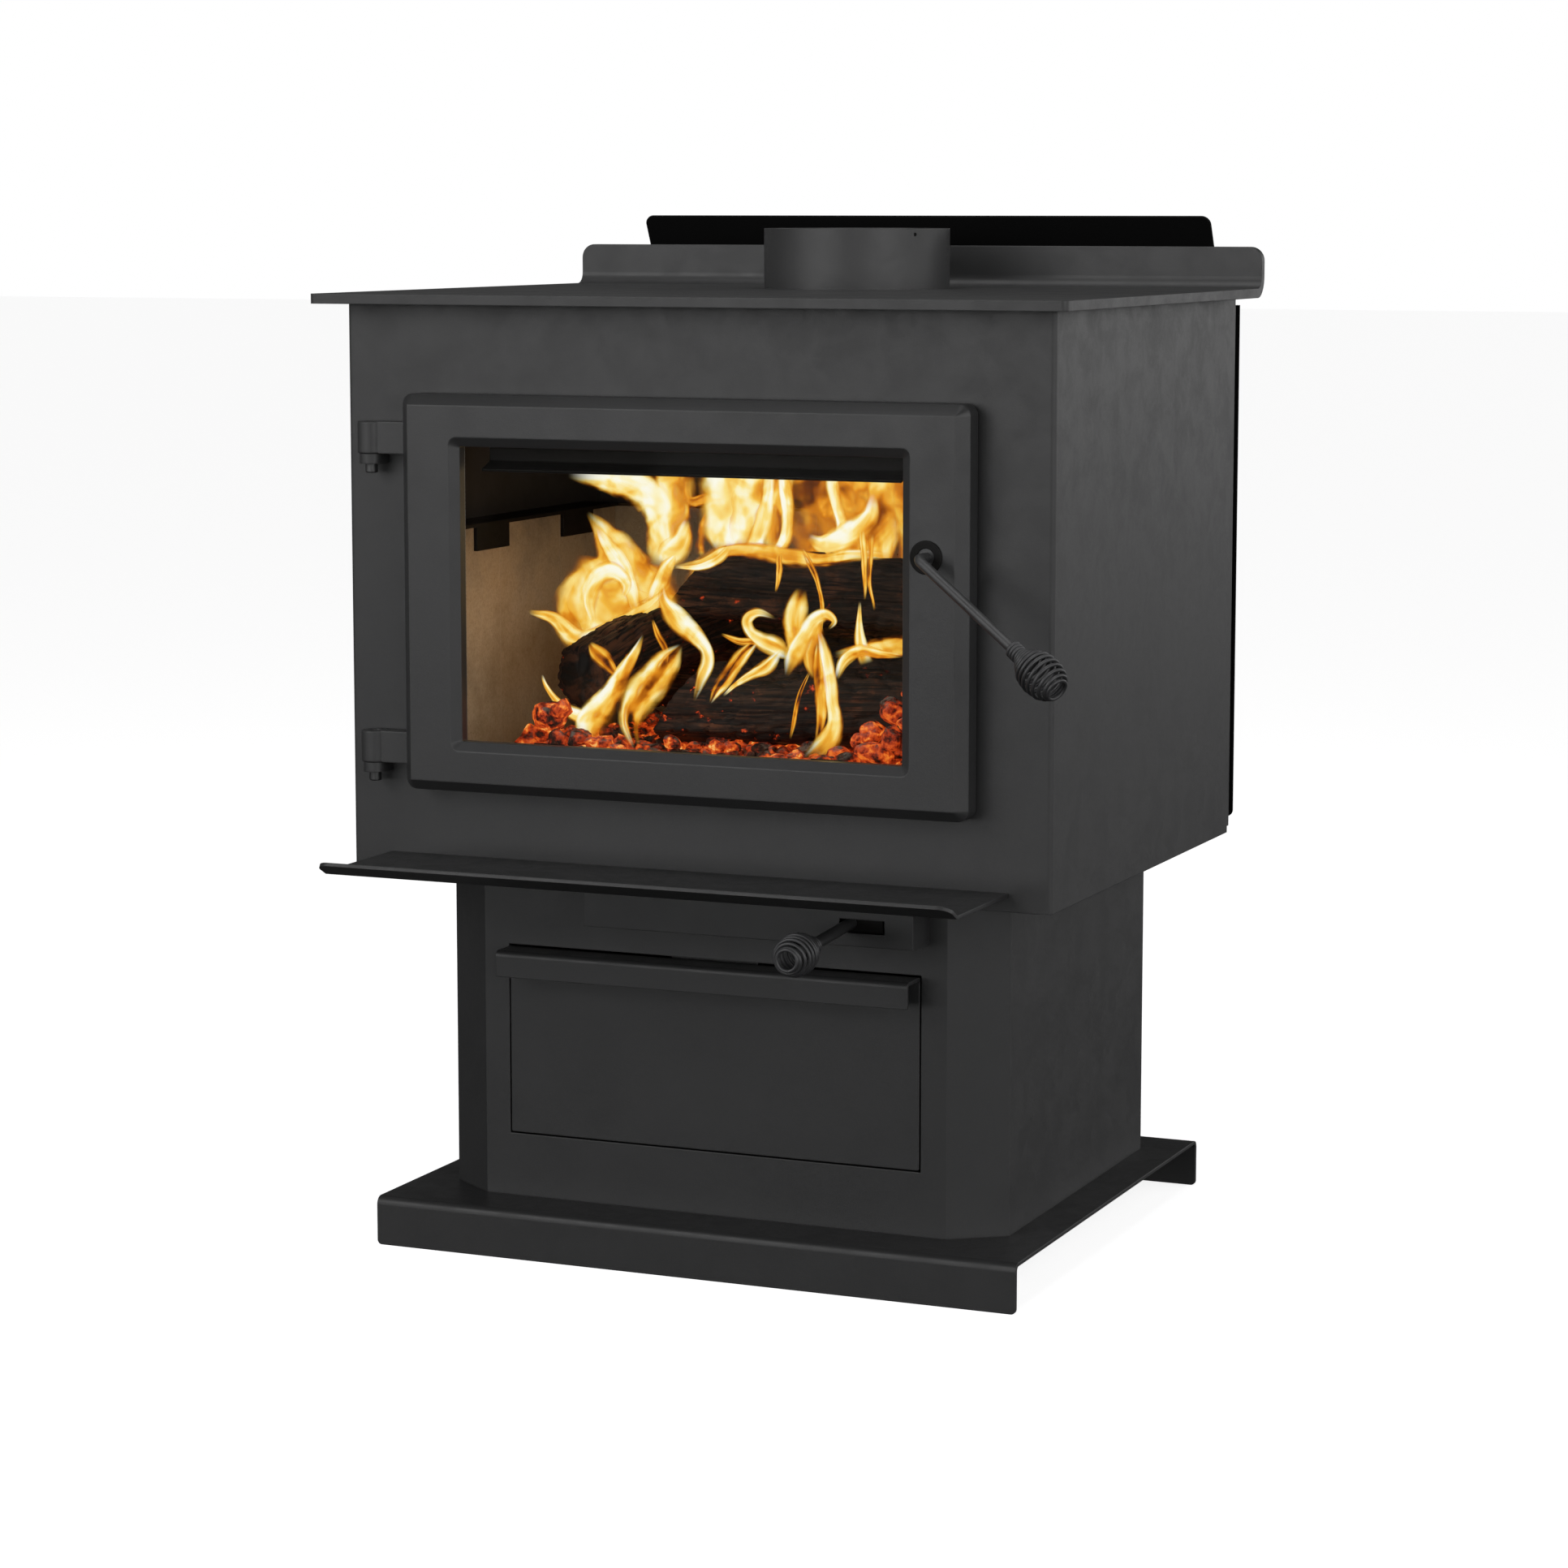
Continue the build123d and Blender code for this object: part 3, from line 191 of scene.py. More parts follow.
def firebrick():
    """Pale porous firebrick with pits and sandy grain, sooted towards the top."""
    t = Tree("firebrick")
    at = t.point()
    rounded, edge_mask = t.edges(0.0012)
    grain = t.noise(at, 420.0, 4.0, 0.75)
    cloud = t.noise(at, 14.0, 5.0, 0.65)
    base = t.ramp(cloud, (0.3, (0.42, 0.33, 0.21)), (0.5, (0.56, 0.46, 0.31)),
                  (0.72, (0.66, 0.57, 0.42)))
    base = t.mix(t.spread(grain, 0.35, 0.7, 0.0, 0.4), base, (0.30, 0.23, 0.15, 1))
    pits = t.spread(t.cells(at, 260.0), 0.05, 0.20)
    base = t.mix(t.spread(pits, 0.0, 1.0, 0.55, 1.0), (0.20, 0.15, 0.10, 1), base)
    height = t.add("SeparateXYZ", Vector=t.here()).outputs[2]
    soot = t.math("ADD", height, t.spread(cloud, 0.2, 0.8, -0.05, 0.05))
    base = t.mix(t.spread(soot, 0.50, 0.66, 0.0, 0.85), base, (0.025, 0.02, 0.017, 1))
    # painted highlight: the sharp edges are lightened towards pale sand
    base = t.mix(t.math("MULTIPLY", edge_mask, 0.35), base, (0.70, 0.62, 0.48, 1))
    stone = t.bump(t.mix(0.5, grain, pits), 0.0006, rounded)
    return t.principled(Base_Color=base, Roughness=0.93, Normal=stone)


def fibre_board():
    """Off-white ceramic fibre board, smoked black in patches."""
    t = Tree("fibre_board")
    fibres = t.noise(t.point((900, 140, 900)), 1.0, 5.0, 0.7, 1.2)
    cloud = t.noise(t.point(), 18.0, 3.0)
    base = t.mix(t.spread(fibres, 0.35, 0.7), (0.50, 0.48, 0.44, 1), (0.72, 0.70, 0.66, 1))
    base = t.mix(t.spread(cloud, 0.3, 0.7, 0.2, 0.75), base, (0.05, 0.045, 0.04, 1))
    return t.principled(Base_Color=base, Roughness=0.95, Normal=t.bump(fibres, 0.0004))


def braid(name):
    """Braided glass-fibre rope: two sets of crossing strands."""
    t = Tree(name)
    at, diagonal, strands = t.point(), {"bands_direction": "DIAGONAL"}, 190.0
    one = t.add("TexWave", diagonal, Vector=at, Scale=strands, Distortion=1.5,
                Detail=1.0).outputs[1]
    two = t.add("TexWave", diagonal, Vector=t.point((-1, 1, -1)), Scale=strands,
                Distortion=1.5).outputs[1]
    weave = t.math("MAXIMUM", one, two)
    lint = t.noise(at, 800.0, 4.0, 0.7)
    base = t.mix(weave, (0.05, 0.05, 0.05, 1), (0.22, 0.215, 0.20, 1))
    base = t.mix(t.spread(lint, 0.4, 0.7, 0.0, 0.4), base, (0.30, 0.29, 0.27, 1))
    return t.principled(Base_Color=base, Roughness=0.9, Sheen_Weight=0.3,
                        Normal=t.bump(weave, 0.0007))


def window_glass():
    """Clear ceramic glass with a faint tint and a haze of soot and ash round its border."""
    t = Tree("window_glass")
    x, _, z = t.add("SeparateXYZ", Vector=t.here()).outputs
    lo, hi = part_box("door_glass")
    mid, half_w, half_h = (lo + hi) / 2, (hi.x - lo.x) / 2, (hi.z - lo.z) / 2
    side = t.math("DIVIDE", t.math("ABSOLUTE", x), half_w)
    rise = t.math("DIVIDE", t.math("ABSOLUTE", t.math("SUBTRACT", z, mid.z)), half_h)
    rim = t.spread(t.math("MAXIMUM", side, rise), 0.80, 1.0)
    smoke = t.noise(t.point(), 22.0, 6.0, 0.7, 0.8)
    haze = t.math("ADD", t.math("MULTIPLY", rim, t.spread(smoke, 0.2, 0.8, 0.01, 0.07)),
                  t.spread(smoke, 0.4, 0.9, 0.0, 0.010))
    clear = t.add("BsdfTransparent", Color=(0.985, 0.985, 0.975, 1)).outputs[0]
    soot = t.add("BsdfDiffuse", Color=(0.07, 0.055, 0.045, 1)).outputs[0]
    dirty = t.add("MixShader", i0=haze, i1=clear, i2=soot).outputs[0]
    gloss = t.add("BsdfGlossy", Color=(0.9, 0.9, 0.9, 1), Roughness=0.04).outputs[0]
    mirror = t.math("MULTIPLY", t.add("Fresnel", IOR=1.45).outputs[0], 0.06)
    return t.surface(t.add("MixShader", i0=mirror, i1=dirty, i2=gloss).outputs[0])


finish = {
    "painted_plate": stove_paint("painted_plate", (0.030, 0.030, 0.0305), 0.44, 1500.0),
    "painted_sheet": stove_paint("painted_sheet", (0.0262, 0.0262, 0.0267), 0.44, 1800.0),
    # painted shade: the rear shield gets a near-black copy of the sheet paint, about an eighth as light, standing
    # in for the shade it lies in
    "painted_shield": stove_paint("painted_shield", (0.0032, 0.0032, 0.0032), 0.75, 900.0, 0.10,
                                  shine=0.08),
    "painted_casting": stove_paint("painted_casting", (0.030, 0.030, 0.0305), 0.42, 1100.0, 0.45,
                                   0.0016),
    "bare_steel": stove_paint("bare_steel", (0.007, 0.0065, 0.006), 0.62, 700.0, 0.10,
                              shine=0.16),
    "tube_steel": metal("tube_steel", (0.16, 0.15, 0.14), 0.42, (60, 900, 900), 0.5),
    "handle_steel": metal("handle_steel", (0.055, 0.055, 0.056), 0.40, (500, 500, 500), 0.0, 0.25),
    "spring_wire": metal("spring_wire", (0.06, 0.06, 0.062), 0.42, (700, 700, 700), 0.0, 0.3),
    "fastener": metal("fastener", (0.07, 0.07, 0.07), 0.42, (700, 700, 700)),
    "firebrick": firebrick(),
    "fibre_board": fibre_board(),
    "window_glass": window_glass(),
    "gasket_fibre": braid("gasket_fibre"),
    "cast_plug": stove_paint("cast_plug", (0.05, 0.045, 0.04), 0.65, 700.0),
}
for part in frame["record"]["subparts"]:
    looks = finish.get(part["material_slot"])
    if looks:
        nodes[part["node"]].data.materials.clear()
        nodes[part["node"]].data.materials.append(looks)


# ------------------------------------------------------------------ mesh helpers
def new_piece(name, verts, faces, material, body, replaced=(), values=None):
    """A smooth mesh object that rides on a body. values are float point attributes by name."""
    mesh = bpy.data.meshes.new(name)
    mesh.from_pydata(verts, [], faces)
    mesh.validate()
    for key, numbers in (values or {}).items():
        mesh.attributes.new(key, "FLOAT", "POINT").data.foreach_set("value", numbers)
    mesh.shade_smooth()
    mesh.materials.append(material)
    piece = bpy.data.objects.new(name, mesh)
    scene.collection.objects.link(piece)
    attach(piece, body)
    if replaced:
        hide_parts(*replaced)
    return piece


def frames(path):
    """Tangent, side and up at each point of a path, turning as little as possible along it."""
    result, side = [], None
    for i in range(len(path)):
        tangent = (path[min(i + 1, len(path) - 1)] - path[max(i - 1, 0)]).normalized()
        if side is None:
            side = tangent.orthogonal().normalized()
        side = (side - tangent * side.dot(tangent)).normalized()
        result.append((tangent, side, tangent.cross(side)))
    return result


def skin(rings, closed_ends=True):
    """Vertices and faces of a tube through rings of equal length, capped if closed_ends."""
    count = len(rings[0])
    verts = [v for ring in rings for v in ring]
    faces = []
    for i in range(len(rings) - 1):
        for j in range(count):
            k = (j + 1) % count
            faces.append((i * count + j, i * count + k, (i + 1) * count + k, (i + 1) * count + j))
    if closed_ends:
        faces.append(tuple(reversed(range(count))))
        faces.append(tuple(range((len(rings) - 1) * count, len(rings) * count)))
    return verts, faces


def smooth_line(points, steps):
    """Catmull-Rom curve through points given as tuples, one value per column."""
    pts = [Vector(p) for p in points]
    pts = [pts[0] * 2 - pts[1], *pts, pts[-1] * 2 - pts[-2]]
    line = []
    for a, b, c, d in zip(pts, pts[1:], pts[2:], pts[3:]):
        for i in range(steps):
            t = i / steps
            square, cube = a * 2 - b * 5 + c * 4 - d, b * 3 - a - c * 3 + d
            line.append((b * 2 + (c - a) * t + square * t * t + cube * t ** 3) / 2)
    return [*line, pts[-2]]


# ------------------------------------------------------------------ wound wire grips
def grip_axis(node, away_from):
    """Root, tip and direction of a grip's solid, from the long axis of its vertices."""
    points = [v.co.copy() for v in nodes[node].data.vertices]
    middle = sum(points, Vector()) / len(points)
    far = max(points, key=lambda p: (p - away_from).length)
    axis = (far - middle).normalized()
    for _ in range(20):    # turns towards the direction in which the vertices spread most
        axis = sum(((p - middle) * (p - middle).dot(axis) for p in points), Vector()).normalized()
    along = [(p - middle).dot(axis) for p in points]
    on_axis = [p for p, a in zip(points, along) if a < min(along) + 1e-4]
    centre = sum(on_axis, Vector()) / len(on_axis)
    return centre, centre + axis * (max(along) - min(along)), axis


def wire_grip(node, body, rod_radius, away_from):
    """A wire wound close on the rod, opening into a barrel of turns that ends in a small ring."""
    root, tip, axis = grip_axis(node, away_from)
    length = (tip - root).length
    wire = 0.00145    # the wire's own radius
    # distance from the root as a share of the length, radius to the wire's middle, advance per turn
    shape = [(0.03, rod_radius + wire, 0.0030), (0.22, rod_radius + wire, 0.0030),
             (0.34, 0.0098, 0.0031), (0.46, 0.0140, 0.0040), (0.62, 0.0155, 0.0052),
             (0.80, 0.0143, 0.0050), (0.91, 0.0112, 0.0036), (0.965, 0.0084, 0.0026)]
    side = axis.orthogonal().normalized()
    up = axis.cross(side)
    path, turn, at = [], 0.0, shape[0][0] * length
    steps, sides = 26, 10    # points in a turn of the wire, and round its section
    while at < shape[-1][0] * length:
        share = at / length
        for (s0, r0, p0), (s1, r1, p1) in zip(shape, shape[1:]):
            if s0 <= share <= s1:
                t = (share - s0) / (s1 - s0)
                radius, pitch = r0 + (r1 - r0) * t, p0 + (p1 - p0) * t
        path.append(root + axis * at + (side * math.cos(turn) + up * math.sin(turn)) * radius)
        turn += math.tau / steps
        at += pitch / steps
    for _ in range(steps + 4):
        path.append(root + axis * at + (side * math.cos(turn) + up * math.sin(turn)) * shape[-1][1])
        turn += math.tau / steps
    angles = [a * math.tau / sides for a in range(sides)]
    rings = [[p + (across * math.cos(a) + over * math.sin(a)) * wire for a in angles]
             for p, (_, across, over) in zip(path, frames(path))]
    verts, faces = skin(rings)
    new_piece(node + "_wire", verts, faces, finish["spring_wire"], body, [node])


joints = {j["name"]: j for j in frame["joints"]}
wire_grip("handle_grip", "door_handle", 0.0040, Vector(joints["handle_turn"]["pos_m"]))
wire_grip("air_lever_grip", "air_lever", 0.0047,
          (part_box("damper_plate")[0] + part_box("damper_plate")[1]) / 2)


# ------------------------------------------------------------------ logs
def charred_wood():
    """Charcoal-black split wood: torn fibres, checks across them, rusty brown patches, the same brown as painted
    firelight on the left, and glow in the deep cracks."""
    t = Tree("charred_wood")
    at = t.here()
    depth, heat = t.value("crack"), t.value("hotness")
    fibres = t.add("CombineXYZ", i0=t.math("MULTIPLY", t.value("grain_u"), 16.0),
                   i1=t.math("MULTIPLY", t.value("grain_v"), 300.0)).outputs[0]
    grain = t.noise(fibres, 1.0, 6.0, 0.65, 0.8)
    cloud = t.noise(at, 34.0, 5.0, 0.65)
    char = t.mix(t.spread(grain, 0.40, 0.68), (0.0025, 0.002, 0.002, 1), (0.040, 0.021, 0.013, 1))
    # painted light: the left of the logs turns reddish brown as if lit by the flames
    firelit_left = t.spread(t.add("SeparateXYZ", Vector=at).outputs[0], -0.02, -0.12)
    rust_and_firelight = t.math("MULTIPLY", t.spread(cloud, 0.50, 0.66), t.spread(grain, 0.40, 0.62))
    # real brown patches together with the painted firelight on the left
    rust_and_firelight = t.math("MAXIMUM", rust_and_firelight, t.math("MULTIPLY", firelit_left, t.spread(grain, 0.44, 0.60, 0.0, 0.75)))
    char = t.mix(rust_and_firelight, char, (0.105, 0.038, 0.016, 1))
    pale = t.math("MULTIPLY", t.spread(grain, 0.60, 0.74),
                  t.spread(t.noise(at, 90.0, 3.0, 0.6), 0.50, 0.68))
    char = t.mix(t.math("MULTIPLY", pale, 0.7), char, (0.30, 0.17, 0.10, 1))
    flicker = t.spread(t.noise(at, 70.0, 4.0, 0.7), 0.55, 0.72)
    glow = t.math("MULTIPLY", t.math("MULTIPLY", heat, flicker),
                  t.spread(depth, 0.1, 0.8, 0.10, 1.0))
    colour = t.ramp(glow, (0.0, (0.20, 0.008, 0.001)), (0.3, (0.55, 0.045, 0.006)),
                    (0.65, (0.90, 0.17, 0.02)), (1.0, (1.0, 0.62, 0.25)))
    relief = t.bump(t.mix(0.35, grain, cloud), 0.0016)
    return t.principled(Base_Color=char, Roughness=0.80, Normal=relief, Emission_Color=colour,
                        Emission_Strength=t.spread(glow, 0.03, 0.40, 0.0, 1.1))


def firewood(name, start, end, radius, seed, corners, hot, slant=0.0):
    """A split log: a few flat split faces with rounded corners, fibrous and checked by fire. hot is
    the share that glows, slant how far the top of the first end is burnt back, in heights."""
    crack_width, crack_depth, row_step = 0.16, 0.0034, 0.0030
    rng = random.Random(seed)
    start, end = Vector(start), Vector(end)
    axis = (end - start).normalized()
    side = axis.cross(Vector((0, 0, 1))).normalized()
    up = side.cross(axis)
    length = (end - start).length
    turns, rows = 104, max(40, int(length / row_step))
    facets = [(math.tau * (i + rng.uniform(-0.25, 0.25)) / corners, rng.uniform(0.74, 0.92))
              for i in range(corners)]
    phase = Vector((seed * 3.7, seed * 1.3, seed * 2.1))
    rings, crack, heat, grain_u, grain_v = [], [], [], [], []
    for i in range(rows + 1):
        s = i / rows
        along = s * length
        bow = side * (noise.noise(phase + Vector((s * 1.6, 0, 0))) * radius * 0.22)
        bow += up * (noise.noise(phase + Vector((s * 1.6, 9, 0))) * radius * 0.16)
        ring = []
        for j in range(turns):
            a = math.tau * j / turns
            reach = 1.0
            for facing, cut in facets:
                c = math.cos(a - facing)
                if c > 0.15:
                    reach = min(reach, cut / c)
            reach = 0.9 * reach + 0.1
            around = Vector((math.cos(a), math.sin(a), 0)) * 2.2
            fibre = noise.fractal(phase + Vector((around.x * 2.6, around.y * 2.6, along * 9)),
                                  0.9, 2.1, 4)
            bulge = noise.noise(phase + Vector((around.x * 0.5, around.y * 0.5, along * 11)))
            spot = phase + Vector((math.cos(a) * radius * 62, math.sin(a) * radius * 62,
                                   along * 42))
            spot += Vector((fibre, bulge, fibre)) * 0.35
            near = noise.voronoi(spot)[0]
            check = max(0.0, 1.0 - (near[1] - near[0]) / crack_width)
            ends = min(1.0, min(s, 1 - s) * length / (radius * 0.12))
            taper = 0.95 + 0.05 * math.sqrt(max(0.0, 1 - (1 - ends) ** 2))
            torn = noise.fractal(phase + Vector((a * 5.5, 3.0, along * 14)), 0.7, 2.2, 4)
            r = radius * taper * reach * (1 + 0.06 * bulge + 0.05 * fibre + 0.045 * torn)
            r -= crack_depth * check * check
            burnt = slant * (1 - s) ** 4 * (math.sin(a) * r + radius)
            ring.append(start + axis * (along + burnt) + bow + side * (math.cos(a) * r)
                        + up * (math.sin(a) * r))
            crack.append(check)
            grain_u.append(along)
            grain_v.append(a * radius)
            low = 0.5 - 0.5 * math.sin(a)
            near_end = max(0.0, 1 - min(s * 3.0, (1 - s) * 3.0))
            heat.append(min(1.0, hot * (0.25 + 0.9 * low + 0.5 * near_end)))
        rings.append(ring)
    verts, faces = skin(rings, closed_ends=False)
    # end faces: rings that shrink towards the middle, slightly domed, rough and split
    for row, outward, at in ((0, -1, start), (rows, 1, end)):
        base = [row * turns + j for j in range(turns)]
        previous, centre = base, sum((verts[b] for b in base), Vector()) / turns
        middle = sum((verts[b] - centre).length for b in base) / turns
        for share in (0.86, 0.70, 0.52, 0.34, 0.17):
            current = []
            for j in range(turns):
                a = math.tau * j / turns
                rim = verts[base[j]] - centre
                even = rim.normalized() * middle
                p = centre + (even + (rim - even) * share * share) * share
                splits = noise.noise(phase + Vector((math.cos(a) * 2.4, math.sin(a) * 2.4, at.x)))
                rough = noise.noise(p * 130)
                current.append(len(verts))
                dome = 0.0035 * (1 - share) + 0.0030 * rough - 0.003 * max(0, splits)
                verts.append(p + axis * outward * dome)
                crack.append(min(1.0, max(0.0, splits * 2)))
                heat.append(hot * 0.35 * share * share)
                grain_u.append(p.z * 3.0)
                grain_v.append((p.x + p.y) * 0.15)
            for j in range(turns):
                k = (j + 1) % turns
                quad = (previous[j], previous[k], current[k], current[j])
                faces.append(tuple(reversed(quad)) if outward < 0 else quad)
            previous = current
        faces.append(tuple(previous) if outward > 0 else tuple(reversed(previous)))
    return new_piece(name, verts, faces, wood, "stove", ["firewood_logs"],
                     {"crack": crack, "hotness": heat, "grain_u": grain_u, "grain_v": grain_v})


wood = charred_wood()
# name, the two ends, radius, seed, flat sides, share that glows, slant
firewood("log_back", (-0.205, 0.362, 0.450), (0.205, 0.356, 0.451), 0.041, 3, 3, 0.5)
firewood("log_middle", (-0.060, 0.268, 0.451), (0.236, 0.260, 0.450), 0.042, 5, 4, 0.6)
firewood("log_front", (-0.104, 0.166, 0.444), (0.238, 0.170, 0.445), 0.037, 8, 4, 0.75, 0.7)
firewood("log_left", (-0.144, 0.108, 0.467), (-0.098, 0.290, 0.506), 0.032, 12, 4, 0.45)
firewood("log_top", (-0.128, 0.240, 0.534), (0.238, 0.226, 0.530), 0.036, 17, 4, 0.3, 0.85)


# ------------------------------------------------------------------ embers
def glowing_coal():
    """Coals and ash: black crust, grey ash on top, orange light between and inside the lumps."""
    t = Tree("glowing_coal")
    at, heat = t.here(), t.value("hotness")
    top = t.add("SeparateXYZ", Vector=t.add("NewGeometry").outputs["Normal"]).outputs[2]
    fine = t.noise(at, 260.0, 4.0, 0.7)
    cloud = t.noise(at, 70.0, 4.0, 0.6)
    crust = t.mix(t.spread(fine, 0.35, 0.65), (0.008, 0.005, 0.004, 1), (0.075, 0.030, 0.014, 1))
    ash = t.math("MULTIPLY", t.spread(top, 0.1, 0.9),
                 t.spread(t.noise(at, 110.0, 5.0, 0.7), 0.45, 0.62))
    base = t.mix(ash, crust, (0.24, 0.19, 0.16, 1))
    seam = t.spread(t.cells(t.point((1, 1, 1.4)), 120.0), 0.30, 0.75)
    glow = t.math("MULTIPLY", heat, t.math("MULTIPLY", t.spread(cloud, 0.34, 0.60, 0.12, 1.0),
                                           t.spread(seam, 0.0, 1.0, 0.45, 1.0)))
    glow = t.math("MULTIPLY", glow, t.spread(fine, 0.28, 0.58, 0.35, 1.0))
    glow = t.math("MULTIPLY", glow, t.spread(ash, 0.0, 1.0, 1.0, 0.25))
    colour = t.ramp(glow, (0.0, (0.10, 0.005, 0.001)), (0.25, (0.34, 0.024, 0.003)),
                    (0.5, (0.66, 0.085, 0.010)), (0.75, (0.90, 0.22, 0.025)),
                    (1.0, (1.0, 0.55, 0.16)))
    return t.principled(Base_Color=base, Roughness=0.9, Normal=t.bump(fine, 0.0014),
                        Emission_Color=colour,
                        Emission_Strength=t.spread(glow, 0.02, 0.30, 0.0, 0.95))


# Heaps in the front corners of the ash bed: (x, y, height, spread along x, spread along y)
HEAPS = ((-0.185, 0.10, 0.020, 0.035, 0.05), (0.185, 0.10, 0.022, 0.05, 0.06))


def ember_heap(x, y):
    """Height of the ash bed above the hearth at a place, in metres."""
    rise = 0.047 + 0.010 * noise.fractal(Vector((x * 22, y * 22, 4.0)), 0.8, 2.0, 4)
    for at_x, at_y, height, wide, deep in HEAPS:
        rise += height * math.exp(-(((x - at_x) / wide) ** 2 + ((y - at_y) / deep) ** 2))
    return rise


def make_ember_bed():
    """Uneven bed of ash over the hearth, open round the ash plug, closed underneath."""
    (x0, y0, z0), (x1, y1, _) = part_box("ember_bed")
    plug_lo, plug_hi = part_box("ash_plug")
    columns, rows = 132, 110
    gap, shoulder = 0.006, 0.03    # clear space round the plug, and width over which the bed rises
    verts, heat, index, faces = [], [], {}, []
    for i in range(columns + 1):
        for j in range(rows + 1):
            x, y = x0 + (x1 - x0) * i / columns, y0 + (y1 - y0) * j / rows
            edge = min(x - x0, x1 - x, y - y0, y1 - y) / shoulder
            hole = max(plug_lo.x - gap - x, x - plug_hi.x - gap, y - plug_hi.y - gap) / shoulder
            slope = max(0.0, min(1.0, edge)) * max(0.0, min(1.0, hole))
            near = noise.voronoi(Vector((x * 75, y * 75, 1.0)))[0]
            lump = 0.006 * (1 - min(1.0, near[0] * 1.6))
            index[i, j] = len(verts)
            verts.append((x, y, z0 + 0.002 + (ember_heap(x, y) + lump) * math.sqrt(slope)))
            heat.append(0.35 + 0.65 * max(0.0, min(1.0, 1.2 - abs(y - 0.14) / 0.16)))
    bottom = len(verts)
    for x, y, _ in verts[:bottom]:
        verts.append((x, y, z0 + 0.0005))
        heat.append(0.3)

    def kept(i, j):
        """Whether a cell of the grid lies clear of the plug."""
        x, y = x0 + (x1 - x0) * (i + 0.5) / columns, y0 + (y1 - y0) * (j + 0.5) / rows
        return x < plug_lo.x - 0.004 or x > plug_hi.x + 0.004 or y > plug_hi.y + 0.004

    for i in range(columns):
        for j in range(rows):
            if not kept(i, j):
                continue
            a, b, c, d = index[i, j], index[i + 1, j], index[i + 1, j + 1], index[i, j + 1]
            faces += [(a, b, c, d), (d + bottom, c + bottom, b + bottom, a + bottom)]
            for p, q, ni, nj in ((a, b, i, j - 1), (b, c, i + 1, j),
                                 (c, d, i, j + 1), (d, a, i - 1, j)):
                if not (0 <= ni < columns and 0 <= nj < rows and kept(ni, nj)):
                    faces.append((q, p, p + bottom, q + bottom))
    used = sorted({v for face in faces for v in face})
    place = {v: n for n, v in enumerate(used)}
    return new_piece("ember_ash", [verts[v] for v in used],
                     [tuple(place[v] for v in face) for face in faces],
                     coal, "stove", ["ember_bed"], {"hotness": [heat[v] for v in used]})


def coal_lump(rng, centre, size, hot):
    """A broken lump of charcoal: a ball cut by random planes and roughened."""
    bm = bmesh.new()
    bmesh.ops.create_icosphere(bm, subdivisions=3, radius=1.0)
    cuts = [(Vector((rng.gauss(0, 1), rng.gauss(0, 1), rng.gauss(0, 1))).normalized(),
             rng.uniform(0.55, 0.85)) for _ in range(9)]
    stretch = Vector((rng.uniform(0.8, 1.4), rng.uniform(0.75, 1.1), rng.uniform(0.6, 0.9)))
    spin = (Matrix.Rotation(rng.uniform(0, math.tau), 3, "Z")
            @ Matrix.Rotation(rng.uniform(-0.5, 0.5), 3, "X"))
    verts = []
    for v in bm.verts:
        p = v.co.copy()
        for normal, reach in cuts:
            over = p.dot(normal) - reach
            if over > 0:
                p -= normal * over * 0.92
        p *= 1 + 0.07 * noise.fractal(p * 3 + centre * 90, 0.8, 2.0, 3)
        stretched = Vector((p.x * stretch.x, p.y * stretch.y, p.z * stretch.z))
        verts.append(centre + spin @ stretched * size)
    faces = [tuple(v.index for v in f.verts) for f in bm.faces]
    bm.free()
    return verts, faces, [hot] * len(verts)


# Larger lumps along the front: x, y, z and size in millimetres, and hotness
LUMPS = [
    (-152, 64, 438, 16.5, 0.95), (-138, 60, 446, 10.5, 0.85), (-160, 70, 425, 11, 0.70),
    (-136, 52, 423, 9.5, 0.45), (-118, 50, 424, 11, 0.55), (-98, 48, 421, 12.5, 1.00),
    (-84, 50, 416, 10, 0.95), (-66, 44, 413, 8.5, 0.60), (58, 50, 412, 10, 0.95),
    (78, 48, 410, 11.5, 0.85), (98, 52, 413, 10.5, 1.00), (118, 50, 416, 12, 0.60),
    (136, 56, 424, 13, 0.75), (152, 60, 436, 14, 0.55), (130, 72, 438, 12, 0.85),
    (150, 78, 454, 13, 0.65), (168, 70, 448, 15, 0.80), (138, 88, 460, 11, 0.50),
    (160, 90, 468, 12, 0.90), (118, 78, 430, 10.5, 0.90), (104, 66, 420, 9.5, 0.70),
]


